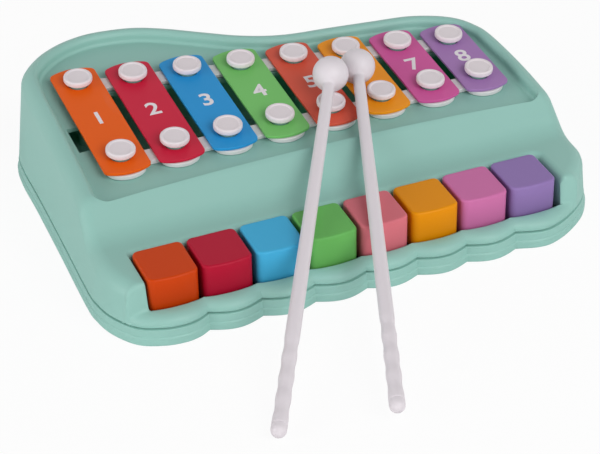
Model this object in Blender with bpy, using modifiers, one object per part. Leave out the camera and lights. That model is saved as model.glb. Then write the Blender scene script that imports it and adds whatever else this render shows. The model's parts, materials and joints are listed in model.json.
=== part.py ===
"""Xylophone piano toy: eight sprung keys throw hammers at eight painted metal bars.

Metres, +Z up. The origin is the middle of the underside. The keys face -Y.
"""

from math import asin, atan2, cos, degrees, pi, radians, sin, tan

import bmesh
import bpy
from mathutils import Matrix, Vector

# Gaps and steps that several pieces share
GAP = 0.0003
OVERRUN = 0.004
WALL = 0.0024
BORE_PLAY = 0.0003
WELD = 0.00001
ROUND_SIDES = 12
BORE_SIDES = 8

# Body: the space beside the bar row, and behind the longest and the shortest bar's back caps
COUNT = 8
SIDE_SPACE = 0.02014
BACK_SPACE = 0.0519
SHORT_BACK_SPACE = 0.0397
BASE_HEIGHT = 0.0090
BASE_STEP_HEIGHT = 0.0046
BASE_STEP = 0.0008
LIP_HEIGHT = 0.0140
ARM_FRONT_HEIGHT = 0.0272
ARM_BACK_HEIGHT = 0.0297
CREST_HEIGHT = 0.0465
DECK_TILT = radians(6.56)
ARM_FRONT_SETBACK = 0.0079
ARM_RISE_LENGTH = 0.0073
SLOPE_FOOT_SETBACK = 0.0502
SLOPE_LENGTH = 0.0179
RISE_FOOT_ROUND_SHARE = 0.2
RISE_TOP_ROUND_SHARE = 0.4
SLOPE_FOOT_ROUND_SHARE = 0.33
CREST_ROUND_SHARE = 0.17
WALL_DRAFT = 0.0022
EDGE_ROUND = 0.0090
EDGE_ROUND_HEIGHT_SHARE = 0.62
EDGE_ROUND_STEPS = 3
HOUSING_STEP = 0.0006
LOBE_DEPTH = 0.0036
LOBE_STEPS = 4

# Outline points as shares of half the width, and of the depth from the front, from the first
# front notch round the left side, the back hump and the waist to the last notch. Those behind
# the short bars are shares of the depth there.
LEFT_FRONT_SHARES = ((-0.693, -0.013), (-0.751, -0.018), (-0.825, -0.010), (-0.906, 0.018),
                     (-0.967, 0.078), (-0.994, 0.140), (-1.0, 0.205))
LEFT_BACK_SHARES = ((-0.992, 0.429), (-0.980, 0.634), (-0.967, 0.782), (-0.935, 0.865),
                    (-0.866, 0.927), (-0.770, 0.968), (-0.651, 0.995), (-0.539, 1.0),
                    (-0.384, 0.981), (-0.254, 0.945), (-0.109, 0.891))
RIGHT_BACK_SHARES = ((0.023, 1.062), (0.166, 1.025), (0.358, 1.012), (0.541, 1.0),
                     (0.684, 0.980), (0.812, 0.958), (0.908, 0.917), (0.974, 0.847),
                     (1.0, 0.748), (1.0, 0.539), (1.0, 0.258))
RIGHT_FRONT_SHARES = ((0.989, 0.130), (0.930, 0.064), (0.835, 0.012), (0.735, -0.013),
                      (0.665, -0.017))

# Pocket in the deck
POCKET_DEPTH = 0.0060
POCKET_RIM = 0.0130
POCKET_FRONT_SETBACK = 0.0645
POCKET_FRONT_BOW = 0.0045
POCKET_CORNER_SHARE = 0.3

# Piano keys
KEY_PITCH = 0.0280
KEY_ROW_OFFSET = -0.0052
KEY_FRONT_SETBACK = 0.0095
KEY_GAP = 0.0022
KEY_DEPTH = 0.0217
KEY_BACK_HEIGHT = 0.0349
KEY_FRONT_HEIGHT = 0.0314
KEY_BOTTOM = 0.0110
KEY_BULGE = 0.0014
KEY_ROUND = 0.0024
KEY_WALL = 0.0022
KEY_WELL_CLEARANCE = 0.0023
KEY_WELL_BACK_CLEARANCE = 0.0027
KEY_WELL_FRONT_CLEARANCE = 0.0007
KEY_WELL_SKIRT_BOTTOM = 0.0246
KEY_WELL_SIDE_BOTTOM = 0.0108
KEY_TRAVEL = radians(7.5)
KEY_ARM_WIDTH = 0.0080
KEY_ARM_THICKNESS = 0.0050
KEY_ARM_INTO_BLOCK = 0.0032
KEY_TAIL_END = 0.0310
KEY_TAIL_START = 0.0225
KEY_TAIL_MARGIN = 0.0015
HUB_RADIUS = 0.0036

# Shafts that the keys and the hammers turn on
SHAFT_RADIUS = 0.0015
SHAFT_PLAY = 0.0001
KEY_SHAFT_SETBACK = 0.0450
KEY_SHAFT_HEIGHT = 0.0170
HAMMER_SHAFT_SETBACK = 0.0600
HAMMER_SHAFT_HEIGHT = 0.0260
SHAFT_OUT = 0.0020

# Hammers
HAMMER_RATIO = 2.3
HAMMER_WIDTH = 0.0060
HAMMER_THICKNESS = 0.0040
HAMMER_HEAD_RADIUS = 0.0040
HAMMER_STEM = 0.0071
HAMMER_STRIKE_SETBACK = 0.0170
HAMMER_STRIKE_GAP = 0.0004
HAMMER_FOOT_REACH = 0.0120
HAMMER_FOOT_RADIUS = 0.0020

# Bars, caps and the cushion strips
BAR_PITCH_EXTRA = 0.00129
BAR_ROW_OFFSET = 0.0049
BAR_GAP = 0.00429
BAR_THICKNESS = 0.0016
BAR_FRONT_CORNER = 0.0094
BAR_BACK_CORNER = 0.0091
BAR_END_BULGE = 0.0033
BAR_HOLE_RADIUS = 0.0058
BAR_END_STEPS = 6
FRONT_ROW_SETBACK = 0.0980
LONGEST_SPAN = 0.0685
SHORTEST_SPAN = 0.0361
CAP_RADIUS = 0.0077
CAP_THICKNESS = 0.0026
CAP_EDGE_ROUND = 0.0007
CAP_DISH = 0.0003
CAP_OVER_BAR = 0.0012
SPIGOT_RADIUS = 0.0022
SPIGOT_LENGTH = 0.0050
SPIGOT_PLAY = 0.0004
POST_RADIUS = 0.0048
STRIP_THICKNESS = 0.0025
STRIP_INNER_EDGE = 0.0060
STRIP_NECK = 0.0080
STRIP_LOBE_WIDTH_SHARES = (-0.385, -0.32, -0.18, 0.0, 0.18, 0.32, 0.385)
STRIP_LOBE_REACH = 0.0148
STRIP_LOBE_REACH_SHARES = (0.0, 0.55, 0.9, 1.0, 0.9, 0.55, 0.0)

# Slot in the pocket's floor
SLOT_EDGE = 0.0070
SLOT_END_INSET = 0.0040
SLOT_TAB_REACH = 0.0046
SLOT_TAB_START = 0.0187
SLOT_TAB_END = 0.0405

# Supports inside the base
RIB_THICKNESS = 0.0020
RIB_END_SPACE = 0.0120
RIB_COLLAR = 0.0042
STOP_RIB_THICKNESS = 0.0020
STOP_RIB_SETBACK = 0.0740
FELT_THICKNESS = 0.0015
REST_SETBACK = 0.0920
KEY_FELT_DEPTH = 0.0080
KEY_FELT_SETBACK = 0.0045

# Screws and their bosses, as shares of half the width and of the depth
BOSS_PLACE_SHARES = ((-0.924, 0.159), (0.888, 0.159), (-0.906, 0.580), (0.912, 0.505),
                     (-0.640, 0.888), (0.216, 0.735))
BOSS_RADIUS = 0.0042
BOSS_JOIN_HEIGHT = 0.0120
SCREW_RADIUS = 0.0015
SCREW_HEAD_RADIUS = 0.0028
SCREW_HEAD_THICKNESS = 0.0020
SCREW_RECESS_DEPTH = 0.0060
SCREW_LENGTH = 0.0140

# Mallets: each ball's place from a front cap's middle, and its stick's turn from straight on
BALL_RADIUS = 0.0096
MALLET_LENGTH = 0.2370
STICK_NECK_RADIUS = 0.00304
STICK_END_RADIUS = 0.0038
GRIP_WAISTS = 4
GRIP_WAIST_DEPTH = 0.0006
GRIP_WAIST_SPACING = 0.0120
GRIP_END_LENGTH = 0.0150
STICK_SIDES = 10
LEFT_BALL_BAR = 4
LEFT_BALL_ASIDE = 0.0032
LEFT_BALL_BEHIND = 0.0086
LEFT_TURN = radians(29.6)
RIGHT_BALL_BAR = 5
RIGHT_BALL_ASIDE = -0.0058
RIGHT_BALL_BEHIND = 0.0148
RIGHT_TURN = radians(20.6)

MINT = (0.274, 0.539, 0.455)
WHITE = (0.72, 0.69, 0.70)
STEEL = (0.55, 0.56, 0.58)
FELT = (0.10, 0.10, 0.11)
KEY_COLOURS = ((0.70, 0.08, 0.012), (0.52, 0.015, 0.04), (0.08, 0.42, 0.72), (0.16, 0.42, 0.14),
               (0.66, 0.17, 0.17), (0.86, 0.36, 0.01), (0.72, 0.20, 0.44), (0.35, 0.21, 0.52))
BAR_COLOURS = ((0.72, 0.11, 0.02), (0.51, 0.03, 0.06), (0.04, 0.26, 0.58), (0.13, 0.39, 0.10),
               (0.56, 0.08, 0.05), (0.76, 0.27, 0.02), (0.58, 0.07, 0.30), (0.38, 0.18, 0.45))

KEY_WIDTH = KEY_PITCH - KEY_GAP
BAR_PITCH = KEY_PITCH + BAR_PITCH_EXTRA
BAR_WIDTH = BAR_PITCH - BAR_GAP
BODY_WIDTH = COUNT * BAR_PITCH + 2 * SIDE_SPACE
BODY_DEPTH = FRONT_ROW_SETBACK + LONGEST_SPAN + BACK_SPACE
SHORT_DEPTH = FRONT_ROW_SETBACK + SHORTEST_SPAN + SHORT_BACK_SPACE
FRONT_Y = -BODY_DEPTH / 2
KEY_FRONT_Y = FRONT_Y + KEY_FRONT_SETBACK
FRONT_ROW_Y = FRONT_Y + FRONT_ROW_SETBACK
SEAM = BASE_HEIGHT + GAP
KEY_SHAFT = Vector((0, KEY_FRONT_Y + KEY_SHAFT_SETBACK, KEY_SHAFT_HEIGHT))
HAMMER_SHAFT = Vector((0, KEY_FRONT_Y + HAMMER_SHAFT_SETBACK, HAMMER_SHAFT_HEIGHT))
STRIP_BOTTOM = GAP
BAR_BOTTOM = STRIP_BOTTOM + STRIP_THICKNESS + GAP
BAR_TOP = BAR_BOTTOM + BAR_THICKNESS
CAP_BOTTOM = BAR_TOP + CAP_OVER_BAR
POST_TOP = CAP_BOTTOM - GAP


def clear_scene():
    for obj in list(bpy.data.objects):
        bpy.data.objects.remove(obj, do_unlink=True)


def make_collection(name):
    found = bpy.data.collections.new(name)
    bpy.context.scene.collection.children.link(found)
    return found


def make_material(name, colour, roughness, metallic=0.0):
    material = bpy.data.materials.new(name)
    material.use_nodes = True
    material.diffuse_color = (*colour, 1)
    shader = material.node_tree.nodes["Principled BSDF"]
    shader.inputs["Base Color"].default_value = (*colour, 1)
    shader.inputs["Roughness"].default_value = roughness
    shader.inputs["Metallic"].default_value = metallic
    return material


def mesh_from(bm, name):
    """Finish a bmesh as a mesh whose faces all point outwards."""
    bmesh.ops.recalc_face_normals(bm, faces=bm.faces[:])
    mesh = bpy.data.meshes.new(name)
    bm.to_mesh(mesh)
    bm.free()
    return mesh


def add_object(name, data, collection, material=None):
    obj = bpy.data.objects.new(name, data)
    collection.objects.link(obj)
    if material:
        data.materials.append(material)
    if data.id_type == "MESH" and material:
        data.shade_smooth()
        data.set_sharp_from_angle(angle=radians(35))
    return obj


def add_cutter(name, mesh):
    obj = add_object(name, mesh, cutters)
    obj.hide_render = True
    obj.display_type = "WIRE"
    return obj


def boolean(obj, tool, operation="DIFFERENCE"):
    modifier = obj.modifiers.new(tool.name, "BOOLEAN")
    modifier.operation = operation
    modifier.object = tool
    modifier.solver = "EXACT"


def baked_mesh(obj, name):
    """The object's evaluated mesh, with its helpers removed, for pieces that share one mesh."""
    tools = [modifier.object for modifier in obj.modifiers]
    bpy.context.view_layer.update()
    graph = bpy.context.evaluated_depsgraph_get()
    mesh = bpy.data.meshes.new_from_object(obj.evaluated_get(graph))
    mesh.name = name
    for helper in [obj, *tools]:
        bpy.data.objects.remove(helper, do_unlink=True)
    return mesh


def arc(centre, radius, start, end, steps):
    """Points on an arc in a plane, from one angle in degrees to another."""
    angles = [radians(start + (end - start) * i / steps) for i in range(steps + 1)]
    return [(centre[0] + radius * cos(a), centre[1] + radius * sin(a)) for a in angles]


def add_prism(bm, points, low, high, axis="Z"):
    """Add a straight prism whose outline lies across the axis X or Z."""
    def place(point, along):
        return (along, *point) if axis == "X" else (*point, along)

    face = bm.faces.new([bm.verts.new(place(point, low)) for point in points])
    grown = bmesh.ops.extrude_face_region(bm, geom=[face])["geom"]
    moved = [part for part in grown if isinstance(part, bmesh.types.BMVert)]
    shift = (high - low, 0, 0) if axis == "X" else (0, 0, high - low)
    bmesh.ops.translate(bm, verts=moved, vec=shift)


def prism(name, outlines, low, high, axis="Z"):
    bm = bmesh.new()
    for points in outlines:
        add_prism(bm, points, low, high, axis)
    return mesh_from(bm, name)


def rectangle(x0, x1, y0, y1):
    return [(x0, y0), (x1, y0), (x1, y1), (x0, y1)]


def circle(centre, radius, sides=ROUND_SIDES):
    return arc(centre, radius, 0, 360, sides)[:-1]


def rod(name, radius, x0, x1, places):
    """Cylinders along X at each (y, z) place, in one mesh."""
    return prism(name, [circle(place, radius) for place in places], x0, x1, "X")


def plate(name, loops, thickness, material):
    """A flat plate with holes, as a filled 2D curve: the first loop is its outline."""
    curve = bpy.data.curves.new(name, "CURVE")
    curve.dimensions = "2D"
    curve.fill_mode = "BOTH"
    curve.extrude = thickness / 2
    for loop in loops:
        spline = curve.splines.new("POLY")
        spline.points.add(len(loop) - 1)
        for point, place in zip(spline.points, loop):
            point.co = (*place, 0, 1)
        spline.use_cyclic_u = True
    return add_object(name, curve, parts, material)


def turned(name, profile, steps, collection, material):
    """A Screw modifier turns the profile, given as (radius, height) from top to bottom."""
    bm = bmesh.new()
    verts = [bm.verts.new((radius, 0, height)) for radius, height in profile]
    for first, second in zip(verts, verts[1:]):
        bm.edges.new((first, second))
    mesh = bpy.data.meshes.new(name)
    bm.to_mesh(mesh)
    bm.free()
    obj = add_object(name, mesh, collection, material)
    screw = obj.modifiers.new("turn", "SCREW")
    screw.steps = screw.render_steps = steps
    screw.use_merge_vertices = True
    screw.merge_threshold = WELD
    screw.use_smooth_shade = True
    return obj


def corner_round(points, cuts, steps):
    """A polyline with each inner corner replaced by a curve that starts at its cut length."""
    found = [points[0]]
    for before, corner, after, cut in zip(points, points[1:], points[2:], cuts):
        start = corner + (before - corner).normalized() * cut
        end = corner + (after - corner).normalized() * cut
        for i in range(steps + 1):
            t = i / steps
            found.append(start.lerp(corner, t).lerp(corner.lerp(end, t), t))
    return found + [points[-1]]


def height_profile():
    """The body's top along Y: lip, arms beside the keys, slope and tilted deck."""
    arm_front = FRONT_Y + ARM_FRONT_SETBACK
    foot = FRONT_Y + SLOPE_FOOT_SETBACK
    crest = foot + SLOPE_LENGTH
    back = crest + BODY_DEPTH
    corners = [
        Vector((2 * FRONT_Y, LIP_HEIGHT)),
        Vector((arm_front, LIP_HEIGHT)),
        Vector((arm_front + ARM_RISE_LENGTH, ARM_FRONT_HEIGHT)),
        Vector((foot, ARM_BACK_HEIGHT)),
        Vector((crest, CREST_HEIGHT)),
        Vector((back, CREST_HEIGHT + BODY_DEPTH * tan(DECK_TILT))),
    ]
    rise = (corners[2] - corners[1]).length
    slope = (corners[4] - corners[3]).length
    cuts = (rise * RISE_FOOT_ROUND_SHARE, rise * RISE_TOP_ROUND_SHARE,
            slope * SLOPE_FOOT_ROUND_SHARE, slope * CREST_ROUND_SHARE)
    return corner_round(corners, cuts, 3)


def top_height(y):
    for first, second in zip(PROFILE, PROFILE[1:]):
        if y <= second.x:
            return first.lerp(second, (y - first.x) / (second.x - first.x)).y
    return PROFILE[-1].y


def floor_height(y):
    """The pocket's floor runs at an even depth under the tilted deck."""
    crest = FRONT_Y + SLOPE_FOOT_SETBACK + SLOPE_LENGTH
    return CREST_HEIGHT + (y - crest) * tan(DECK_TILT) - POCKET_DEPTH


def smooth_through(points, steps):
    """Catmull-Rom curve through the points, from the first to the last."""
    ends = [2 * points[0] - points[1], *points, 2 * points[-1] - points[-2]]
    found = []
    for a, b, c, d in zip(ends, ends[1:], ends[2:], ends[3:]):
        for i in range(steps):
            t = i / steps
            found.append(((2 * b) + (c - a) * t + (2 * a - 5 * b + 4 * c - d) * t**2
                          + (3 * b - a - 3 * c + d) * t**3) / 2)
    return found + [points[-1]]


def body_outline(steps):
    """The body on plan: seven notches along the scalloped front, then round the grand shape."""
    def placed(shares, depth):
        return [Vector((x * BODY_WIDTH / 2, FRONT_Y + y * depth)) for x, y in shares]

    notches = [Vector((KEY_ROW_OFFSET + (i - (COUNT - 2) / 2) * KEY_PITCH, FRONT_Y))
               for i in range(COUNT - 1)]
    ring = smooth_through([notches[0], *placed(LEFT_FRONT_SHARES + LEFT_BACK_SHARES, BODY_DEPTH),
                           *placed(RIGHT_BACK_SHARES, SHORT_DEPTH),
                           *placed(RIGHT_FRONT_SHARES, BODY_DEPTH), notches[-1]], steps)
    for first, second in reversed(list(zip(notches, notches[1:]))):
        for i in range(1, LOBE_STEPS):
            share = i / LOBE_STEPS
            bulge = Vector((0, -LOBE_DEPTH * sin(pi * share)))
            ring.append(second.lerp(first, share) + bulge)
        ring.append(first)
    return ring[:-1]


def inset(loop, distance):
    """Move each point of a clockwise loop inwards by an even distance from its edges."""
    found = []
    for before, point, after in zip(loop[-1:] + loop[:-1], loop, loop[1:] + loop[:1]):
        first = (point - before).normalized()
        second = (after - point).normalized()
        inward = Vector((first.y + second.y, -first.x - second.x)).normalized()
        half_turn = inward.dot(Vector((first.y, -first.x)))
        found.append(point + inward * distance / half_turn)
    return found


def ring_solid(name, rings):
    """A closed solid through rings of points, each at its own height, bottom to top."""
    bm = bmesh.new()
    rows = [[bm.verts.new((*point, height)) for point in loop] for loop, height in rings]
    for low, high in zip(rows, rows[1:]):
        for i in range(len(low)):
            bm.faces.new((low[i - 1], low[i], high[i], high[i - 1]))
    bm.faces.new(rows[0])
    bm.faces.new(rows[-1])
    return bm


def domed_solid(name, loop, bottom, first_inset, radius, lowered, steps):
    """A solid under the height profile, with its walls drafted and its upper edge rounded."""
    rings = [(inset(loop, first_inset), -2)]
    for i in range(steps + 1):
        angle = radians(90 * i / steps)
        across = first_inset + WALL_DRAFT + radius * (1 - cos(angle))
        rings.append((inset(loop, across), sin(angle) - 1))
    bm = ring_solid(name, rings)
    for point in PROFILE[1:-1]:
        whole = bm.verts[:] + bm.edges[:] + bm.faces[:]
        bmesh.ops.bisect_plane(bm, geom=whole, plane_co=(0, point.x, 0), plane_no=(0, 1, 0))
    for vert in bm.verts:
        top = top_height(vert.co.y) - lowered
        round_height = min(radius, (top - SEAM) * EDGE_ROUND_HEIGHT_SHARE)
        level = vert.co.z
        if level >= -1:
            vert.co.z = top + level * round_height
        else:
            vert.co.z = bottom + (level + 2) * (top - round_height - bottom)
    bmesh.ops.triangulate(bm, faces=bm.faces[:])
    return mesh_from(bm, name)


def pocket_outline(loop, grown):
    """The pocket on plan: even with the rim at the sides and back, bowed along its front."""
    sides = inset(loop, POCKET_RIM - grown)
    front = FRONT_Y + POCKET_FRONT_SETBACK - grown
    left = min(point.x for point in sides if point.y > front)
    right = max(point.x for point in sides if point.y > front)
    corner = POCKET_RIM * POCKET_CORNER_SHARE
    steps = 6
    kept = [point for point in sides if point.y > front + 2 * corner]
    start = max(range(len(kept)), key=lambda i: (kept[i] - kept[i - 1]).length)
    kept = kept[start:] + kept[:start]
    bowed = []
    for i in range(steps + 1):
        x = right - corner + (left + 2 * corner - right) * i / steps
        bowed.append(Vector((x, front + POCKET_FRONT_BOW * sin(pi * i / steps))))
    rounds = [Vector((right, front + corner)), *bowed, Vector((left, front + corner))]
    return kept + rounds


def pocket_solid(name, loop, lowered, high):
    """The pocket as a solid: upright walls and a floor that follows the deck's tilt."""
    bm = bmesh.new()
    add_prism(bm, loop, 0, high)
    for vert in bm.verts:
        if not vert.co.z:
            vert.co.z = floor_height(vert.co.y) - lowered
    return mesh_from(bm, name)


def key_x(i):
    return KEY_ROW_OFFSET + (i - (COUNT - 1) / 2) * KEY_PITCH


def bar_x(i):
    return BAR_ROW_OFFSET + (i - (COUNT - 1) / 2) * BAR_PITCH


def tail_reach():
    """How far a key's tail reaches aside from its arm, to lie under the furthest hammer."""
    last = COUNT - 1
    return bar_x(last) - key_x(last) + HAMMER_WIDTH / 2 + KEY_TAIL_MARGIN


def bar_span(i):
    return LONGEST_SPAN + (SHORTEST_SPAN - LONGEST_SPAN) * i / (COUNT - 1)


def seat_on_deck(obj, x, along, height):
    """Lay an object in the deck's own plane: along it from the front row, and above its floor."""
    turn = Matrix.Rotation(DECK_TILT, 4, "X")
    base = Vector((0, FRONT_ROW_Y, floor_height(FRONT_ROW_Y)))
    obj.matrix_world = Matrix.Translation(base) @ turn @ Matrix.Translation((x, along, height))


def row_places():
    """Each cap's place in the deck's plane: the front row, then the back row."""
    return [(bar_x(i), 0) for i in range(COUNT)] + [(bar_x(i), bar_span(i)) for i in range(COUNT)]


def boss_places():
    return [Vector((x * BODY_WIDTH / 2, FRONT_Y + y * BODY_DEPTH)) for x, y in BOSS_PLACE_SHARES]


def slot_outline():
    """The hammers' slot between the cushion strips, with the tab at its left end."""
    left = bar_x(0) - BAR_WIDTH / 2 + SLOT_END_INSET
    right = bar_x(COUNT - 1) + BAR_WIDTH / 2 - SLOT_END_INSET
    far_left = bar_x(0) - BAR_WIDTH / 2 - SLOT_TAB_REACH
    lean = (SHORTEST_SPAN - LONGEST_SPAN) / ((COUNT - 1) * BAR_PITCH)
    back_left = LONGEST_SPAN - SLOT_EDGE + lean * (left - bar_x(0))
    back_right = SHORTEST_SPAN - SLOT_EDGE + lean * (right - bar_x(COUNT - 1))
    return [(left, SLOT_EDGE), (right, SLOT_EDGE), (right, back_right), (left, back_left),
            (left, SLOT_TAB_END), (far_left, SLOT_TAB_END), (far_left, SLOT_TAB_START),
            (left, SLOT_TAB_START)]


def well_box(grown):
    x0 = key_x(0) - KEY_WIDTH / 2 - KEY_WELL_CLEARANCE - grown
    x1 = key_x(COUNT - 1) + KEY_WIDTH / 2 + KEY_WELL_CLEARANCE + grown
    y0 = KEY_FRONT_Y - KEY_BULGE - KEY_WELL_FRONT_CLEARANCE - grown
    y1 = KEY_FRONT_Y + KEY_DEPTH + KEY_WELL_BACK_CLEARANCE + grown
    return rectangle(x0, x1, y0, y1)


def well_outline():
    """The well on plan: its front edge bows out round each key's front."""
    (x0, y0), (x1, _), (_, y1), _ = well_box(0)
    notch = y0 + KEY_BULGE
    front = [(x0, notch)]
    for i in range(COUNT):
        for step in range(LOBE_STEPS):
            share = step / LOBE_STEPS
            front.append((key_x(i) + (share - 0.5) * KEY_PITCH,
                          notch - KEY_BULGE * sin(pi * share)))
    return [*front, (x1, notch), (x1, y1), (x0, y1)]


def well_side_boxes():
    """The well's two end walls on plan, which reach further down than its skirt."""
    (x0, y0), (x1, _), (_, y1), _ = well_box(WALL / 2)
    return [rectangle(x0, x0 + WALL, y0, y1), rectangle(x1 - WALL, x1, y0, y1)]


def make_housing():
    high = CREST_HEIGHT + BODY_DEPTH
    mesh = domed_solid("top_housing", body_outline(2), SEAM, HOUSING_STEP + BASE_STEP,
                       EDGE_ROUND, 0, EDGE_ROUND_STEPS)
    loop = body_outline(1)
    housing = add_object("top_housing", mesh, parts, mint)
    cavity = add_cutter("housing_cavity", domed_solid(
        "housing_cavity", loop, -OVERRUN, HOUSING_STEP + BASE_STEP + WALL, EDGE_ROUND - WALL,
        WALL, 2))
    keeper = add_cutter("pocket_wall", pocket_solid(
        "pocket_wall", pocket_outline(loop, WALL), WALL, high))
    skirt = add_cutter("well_skirt", prism(
        "well_skirt", [well_box(WALL / 2)], KEY_WELL_SKIRT_BOTTOM, high))
    sides = add_cutter("well_sides", prism(
        "well_sides", well_side_boxes(), KEY_WELL_SIDE_BOTTOM, high))
    for wall in (keeper, skirt, sides):
        boolean(cavity, wall)
    boolean(housing, cavity)
    pocket = add_cutter("pocket_space", pocket_solid(
        "pocket_space", pocket_outline(loop, 0), 0, high))
    boolean(housing, pocket)

    bosses = bmesh.new()
    for place in boss_places():
        under_pocket = place.y > FRONT_Y + POCKET_FRONT_SETBACK
        roof = floor_height(place.y) if under_pocket else top_height(place.y)
        add_prism(bosses, circle(place, BOSS_RADIUS), BOSS_JOIN_HEIGHT + GAP, roof - WALL / 2)
    boolean(housing, add_cutter("housing_bosses", mesh_from(bosses, "housing_bosses")), "UNION")
    posts = add_cutter("cap_posts", prism(
        "cap_posts", [circle(place, POST_RADIUS) for place in row_places()], -WALL / 2, POST_TOP))
    seat_on_deck(posts, 0, 0, 0)
    boolean(housing, posts, "UNION")

    well = add_cutter("key_well", prism("key_well", [well_outline()], 0, high))
    boolean(housing, well)
    slot = add_cutter("hammer_slot", prism(
        "hammer_slot", [slot_outline()], -2 * WALL, 2 * WALL))
    seat_on_deck(slot, 0, 0, 0)
    boolean(housing, slot)
    bores = add_cutter("spigot_bores", prism(
        "spigot_bores",
        [circle(place, SPIGOT_RADIUS + SPIGOT_PLAY, BORE_SIDES) for place in row_places()],
        POST_TOP - SPIGOT_LENGTH - SPIGOT_PLAY, POST_TOP + OVERRUN))
    seat_on_deck(bores, 0, 0, 0)
    boolean(housing, bores)
    screw_bores = add_cutter("housing_screw_bores", prism(
        "housing_screw_bores",
        [circle(p, SCREW_RADIUS + BORE_PLAY, BORE_SIDES) for p in boss_places()],
        0, SCREW_RECESS_DEPTH + SCREW_LENGTH + GAP))
    boolean(housing, screw_bores)


def rib_places():
    """The bearing ribs' middles along X: each end, and between a hammer and the next key."""
    middle = COUNT // 2
    half = RIB_THICKNESS / 2
    hammer_side = bar_x(middle - 1) + HAMMER_WIDTH / 2
    between = (hammer_side + key_x(middle) - KEY_ARM_WIDTH / 2) / 2
    last = key_x(COUNT - 1) + tail_reach() + RIB_END_SPACE / 2
    return [key_x(0) - RIB_END_SPACE - half, between, last + half]


def hammer_shape():
    """Hammer side outline in (y, z) from its shaft, and its resting head centre."""
    raise_angle = KEY_TRAVEL * HAMMER_RATIO
    strike_y = FRONT_ROW_Y + HAMMER_STRIKE_SETBACK
    bar_under = floor_height(strike_y) + BAR_BOTTOM / cos(DECK_TILT)
    raised = Vector((strike_y, bar_under - HAMMER_STRIKE_GAP - HAMMER_HEAD_RADIUS))
    raised -= HAMMER_SHAFT.yz
    head = Matrix.Rotation(-raise_angle, 2) @ raised
    half = HAMMER_THICKNESS / 2
    low_end = head.y - HAMMER_STEM
    slope = low_end / head.x
    foot_y = HAMMER_FOOT_REACH
    foot_z = foot_rest_height() + HAMMER_FOOT_RADIUS - HAMMER_SHAFT.z
    front, back = head.x - HAMMER_HEAD_RADIUS, head.x + HAMMER_HEAD_RADIUS
    outline = arc((0, 0), HUB_RADIUS, 35, 325, 9)
    outline.append((foot_y - HAMMER_FOOT_RADIUS, slope * foot_y - half))
    outline += arc((foot_y, foot_z), HAMMER_FOOT_RADIUS, 180, 360, 4)
    outline.append((foot_y + HAMMER_FOOT_RADIUS, slope * foot_y - half))
    outline.append((back, slope * back - half))
    outline += arc(head, HAMMER_HEAD_RADIUS, 0, 180, 6)
    outline.append((front, slope * front + half))
    return outline, slope


def foot_rest_height():
    return KEY_SHAFT.z + KEY_ARM_THICKNESS / 2 + GAP


def make_base():
    loop = body_outline(2)
    stepped = inset(loop, BASE_STEP)
    rings = [(loop, 0), (loop, BASE_STEP_HEIGHT),
             (stepped, BASE_STEP_HEIGHT + BASE_STEP / 2), (stepped, BASE_HEIGHT)]
    base = add_object("base_tray", mesh_from(ring_solid("base_tray", rings), "base_tray"),
                      parts, mint)
    hollow = add_cutter("tray_hollow", prism(
        "tray_hollow", [inset(body_outline(1), BASE_STEP + WALL)], WALL, BASE_HEIGHT + OVERRUN))
    boolean(base, hollow)

    sunk = WALL / 2
    bosses = add_cutter("tray_bosses", prism(
        "tray_bosses", [circle(p, BOSS_RADIUS) for p in boss_places()], sunk, BOSS_JOIN_HEIGHT))
    boolean(base, bosses, "UNION")

    ribs = bmesh.new()
    for x in rib_places():
        key_y, hammer_y = KEY_SHAFT.y, HAMMER_SHAFT.y
        outline = [(key_y - RIB_COLLAR, sunk), *arc(KEY_SHAFT.yz, RIB_COLLAR, 180, 90, 3),
                   *arc(HAMMER_SHAFT.yz, RIB_COLLAR, 180, 0, 6), (hammer_y + RIB_COLLAR, sunk)]
        half = RIB_THICKNESS / 2
        add_prism(ribs, outline, x - half, x + half, "X")
    boolean(base, add_cutter("bearing_ribs", mesh_from(ribs, "bearing_ribs")), "UNION")

    left, _, right = rib_places()
    half = STOP_RIB_THICKNESS / 2
    stop_y = KEY_FRONT_Y + STOP_RIB_SETBACK
    stop_top = KEY_SHAFT.z - KEY_ARM_THICKNESS / 2 - GAP
    stop = add_cutter("tail_stop_rib", prism(
        "tail_stop_rib", [rectangle(left, right, stop_y - half, stop_y + half)], sunk, stop_top))
    boolean(base, stop, "UNION")
    rest = add_cutter("hammer_rest_rib", prism(
        "hammer_rest_rib", [rest_strip_box()], sunk, rest_height() - FELT_THICKNESS - GAP))
    boolean(base, rest, "UNION")

    shaft_bores = rod("shaft_bores", SHAFT_RADIUS + SHAFT_PLAY, left - OVERRUN, right + OVERRUN,
                      [KEY_SHAFT.yz, HAMMER_SHAFT.yz])
    boolean(base, add_cutter("shaft_bores", shaft_bores))
    recesses = add_cutter("screw_recesses", prism(
        "screw_recesses", [circle(p, SCREW_HEAD_RADIUS + BORE_PLAY) for p in boss_places()],
        -OVERRUN, SCREW_RECESS_DEPTH))
    boolean(base, recesses)
    holes = add_cutter("screw_holes", prism(
        "screw_holes", [circle(p, SCREW_RADIUS + BORE_PLAY, BORE_SIDES) for p in boss_places()],
        SCREW_RECESS_DEPTH / 2, BOSS_JOIN_HEIGHT + OVERRUN))
    boolean(base, holes)


def rest_strip_box():
    y = KEY_FRONT_Y + REST_SETBACK
    half = STOP_RIB_THICKNESS / 2
    return rectangle(bar_x(0) - HAMMER_WIDTH, bar_x(COUNT - 1) + HAMMER_WIDTH, y - half, y + half)


def rest_height():
    """Where the hammers' undersides lie on the rest strip, less the gap."""
    slope = hammer_shape()[1]
    out = KEY_FRONT_Y + REST_SETBACK - HAMMER_SHAFT.y + STOP_RIB_THICKNESS / 2
    return HAMMER_SHAFT.z + slope * out - HAMMER_THICKNESS / 2 - GAP


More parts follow.
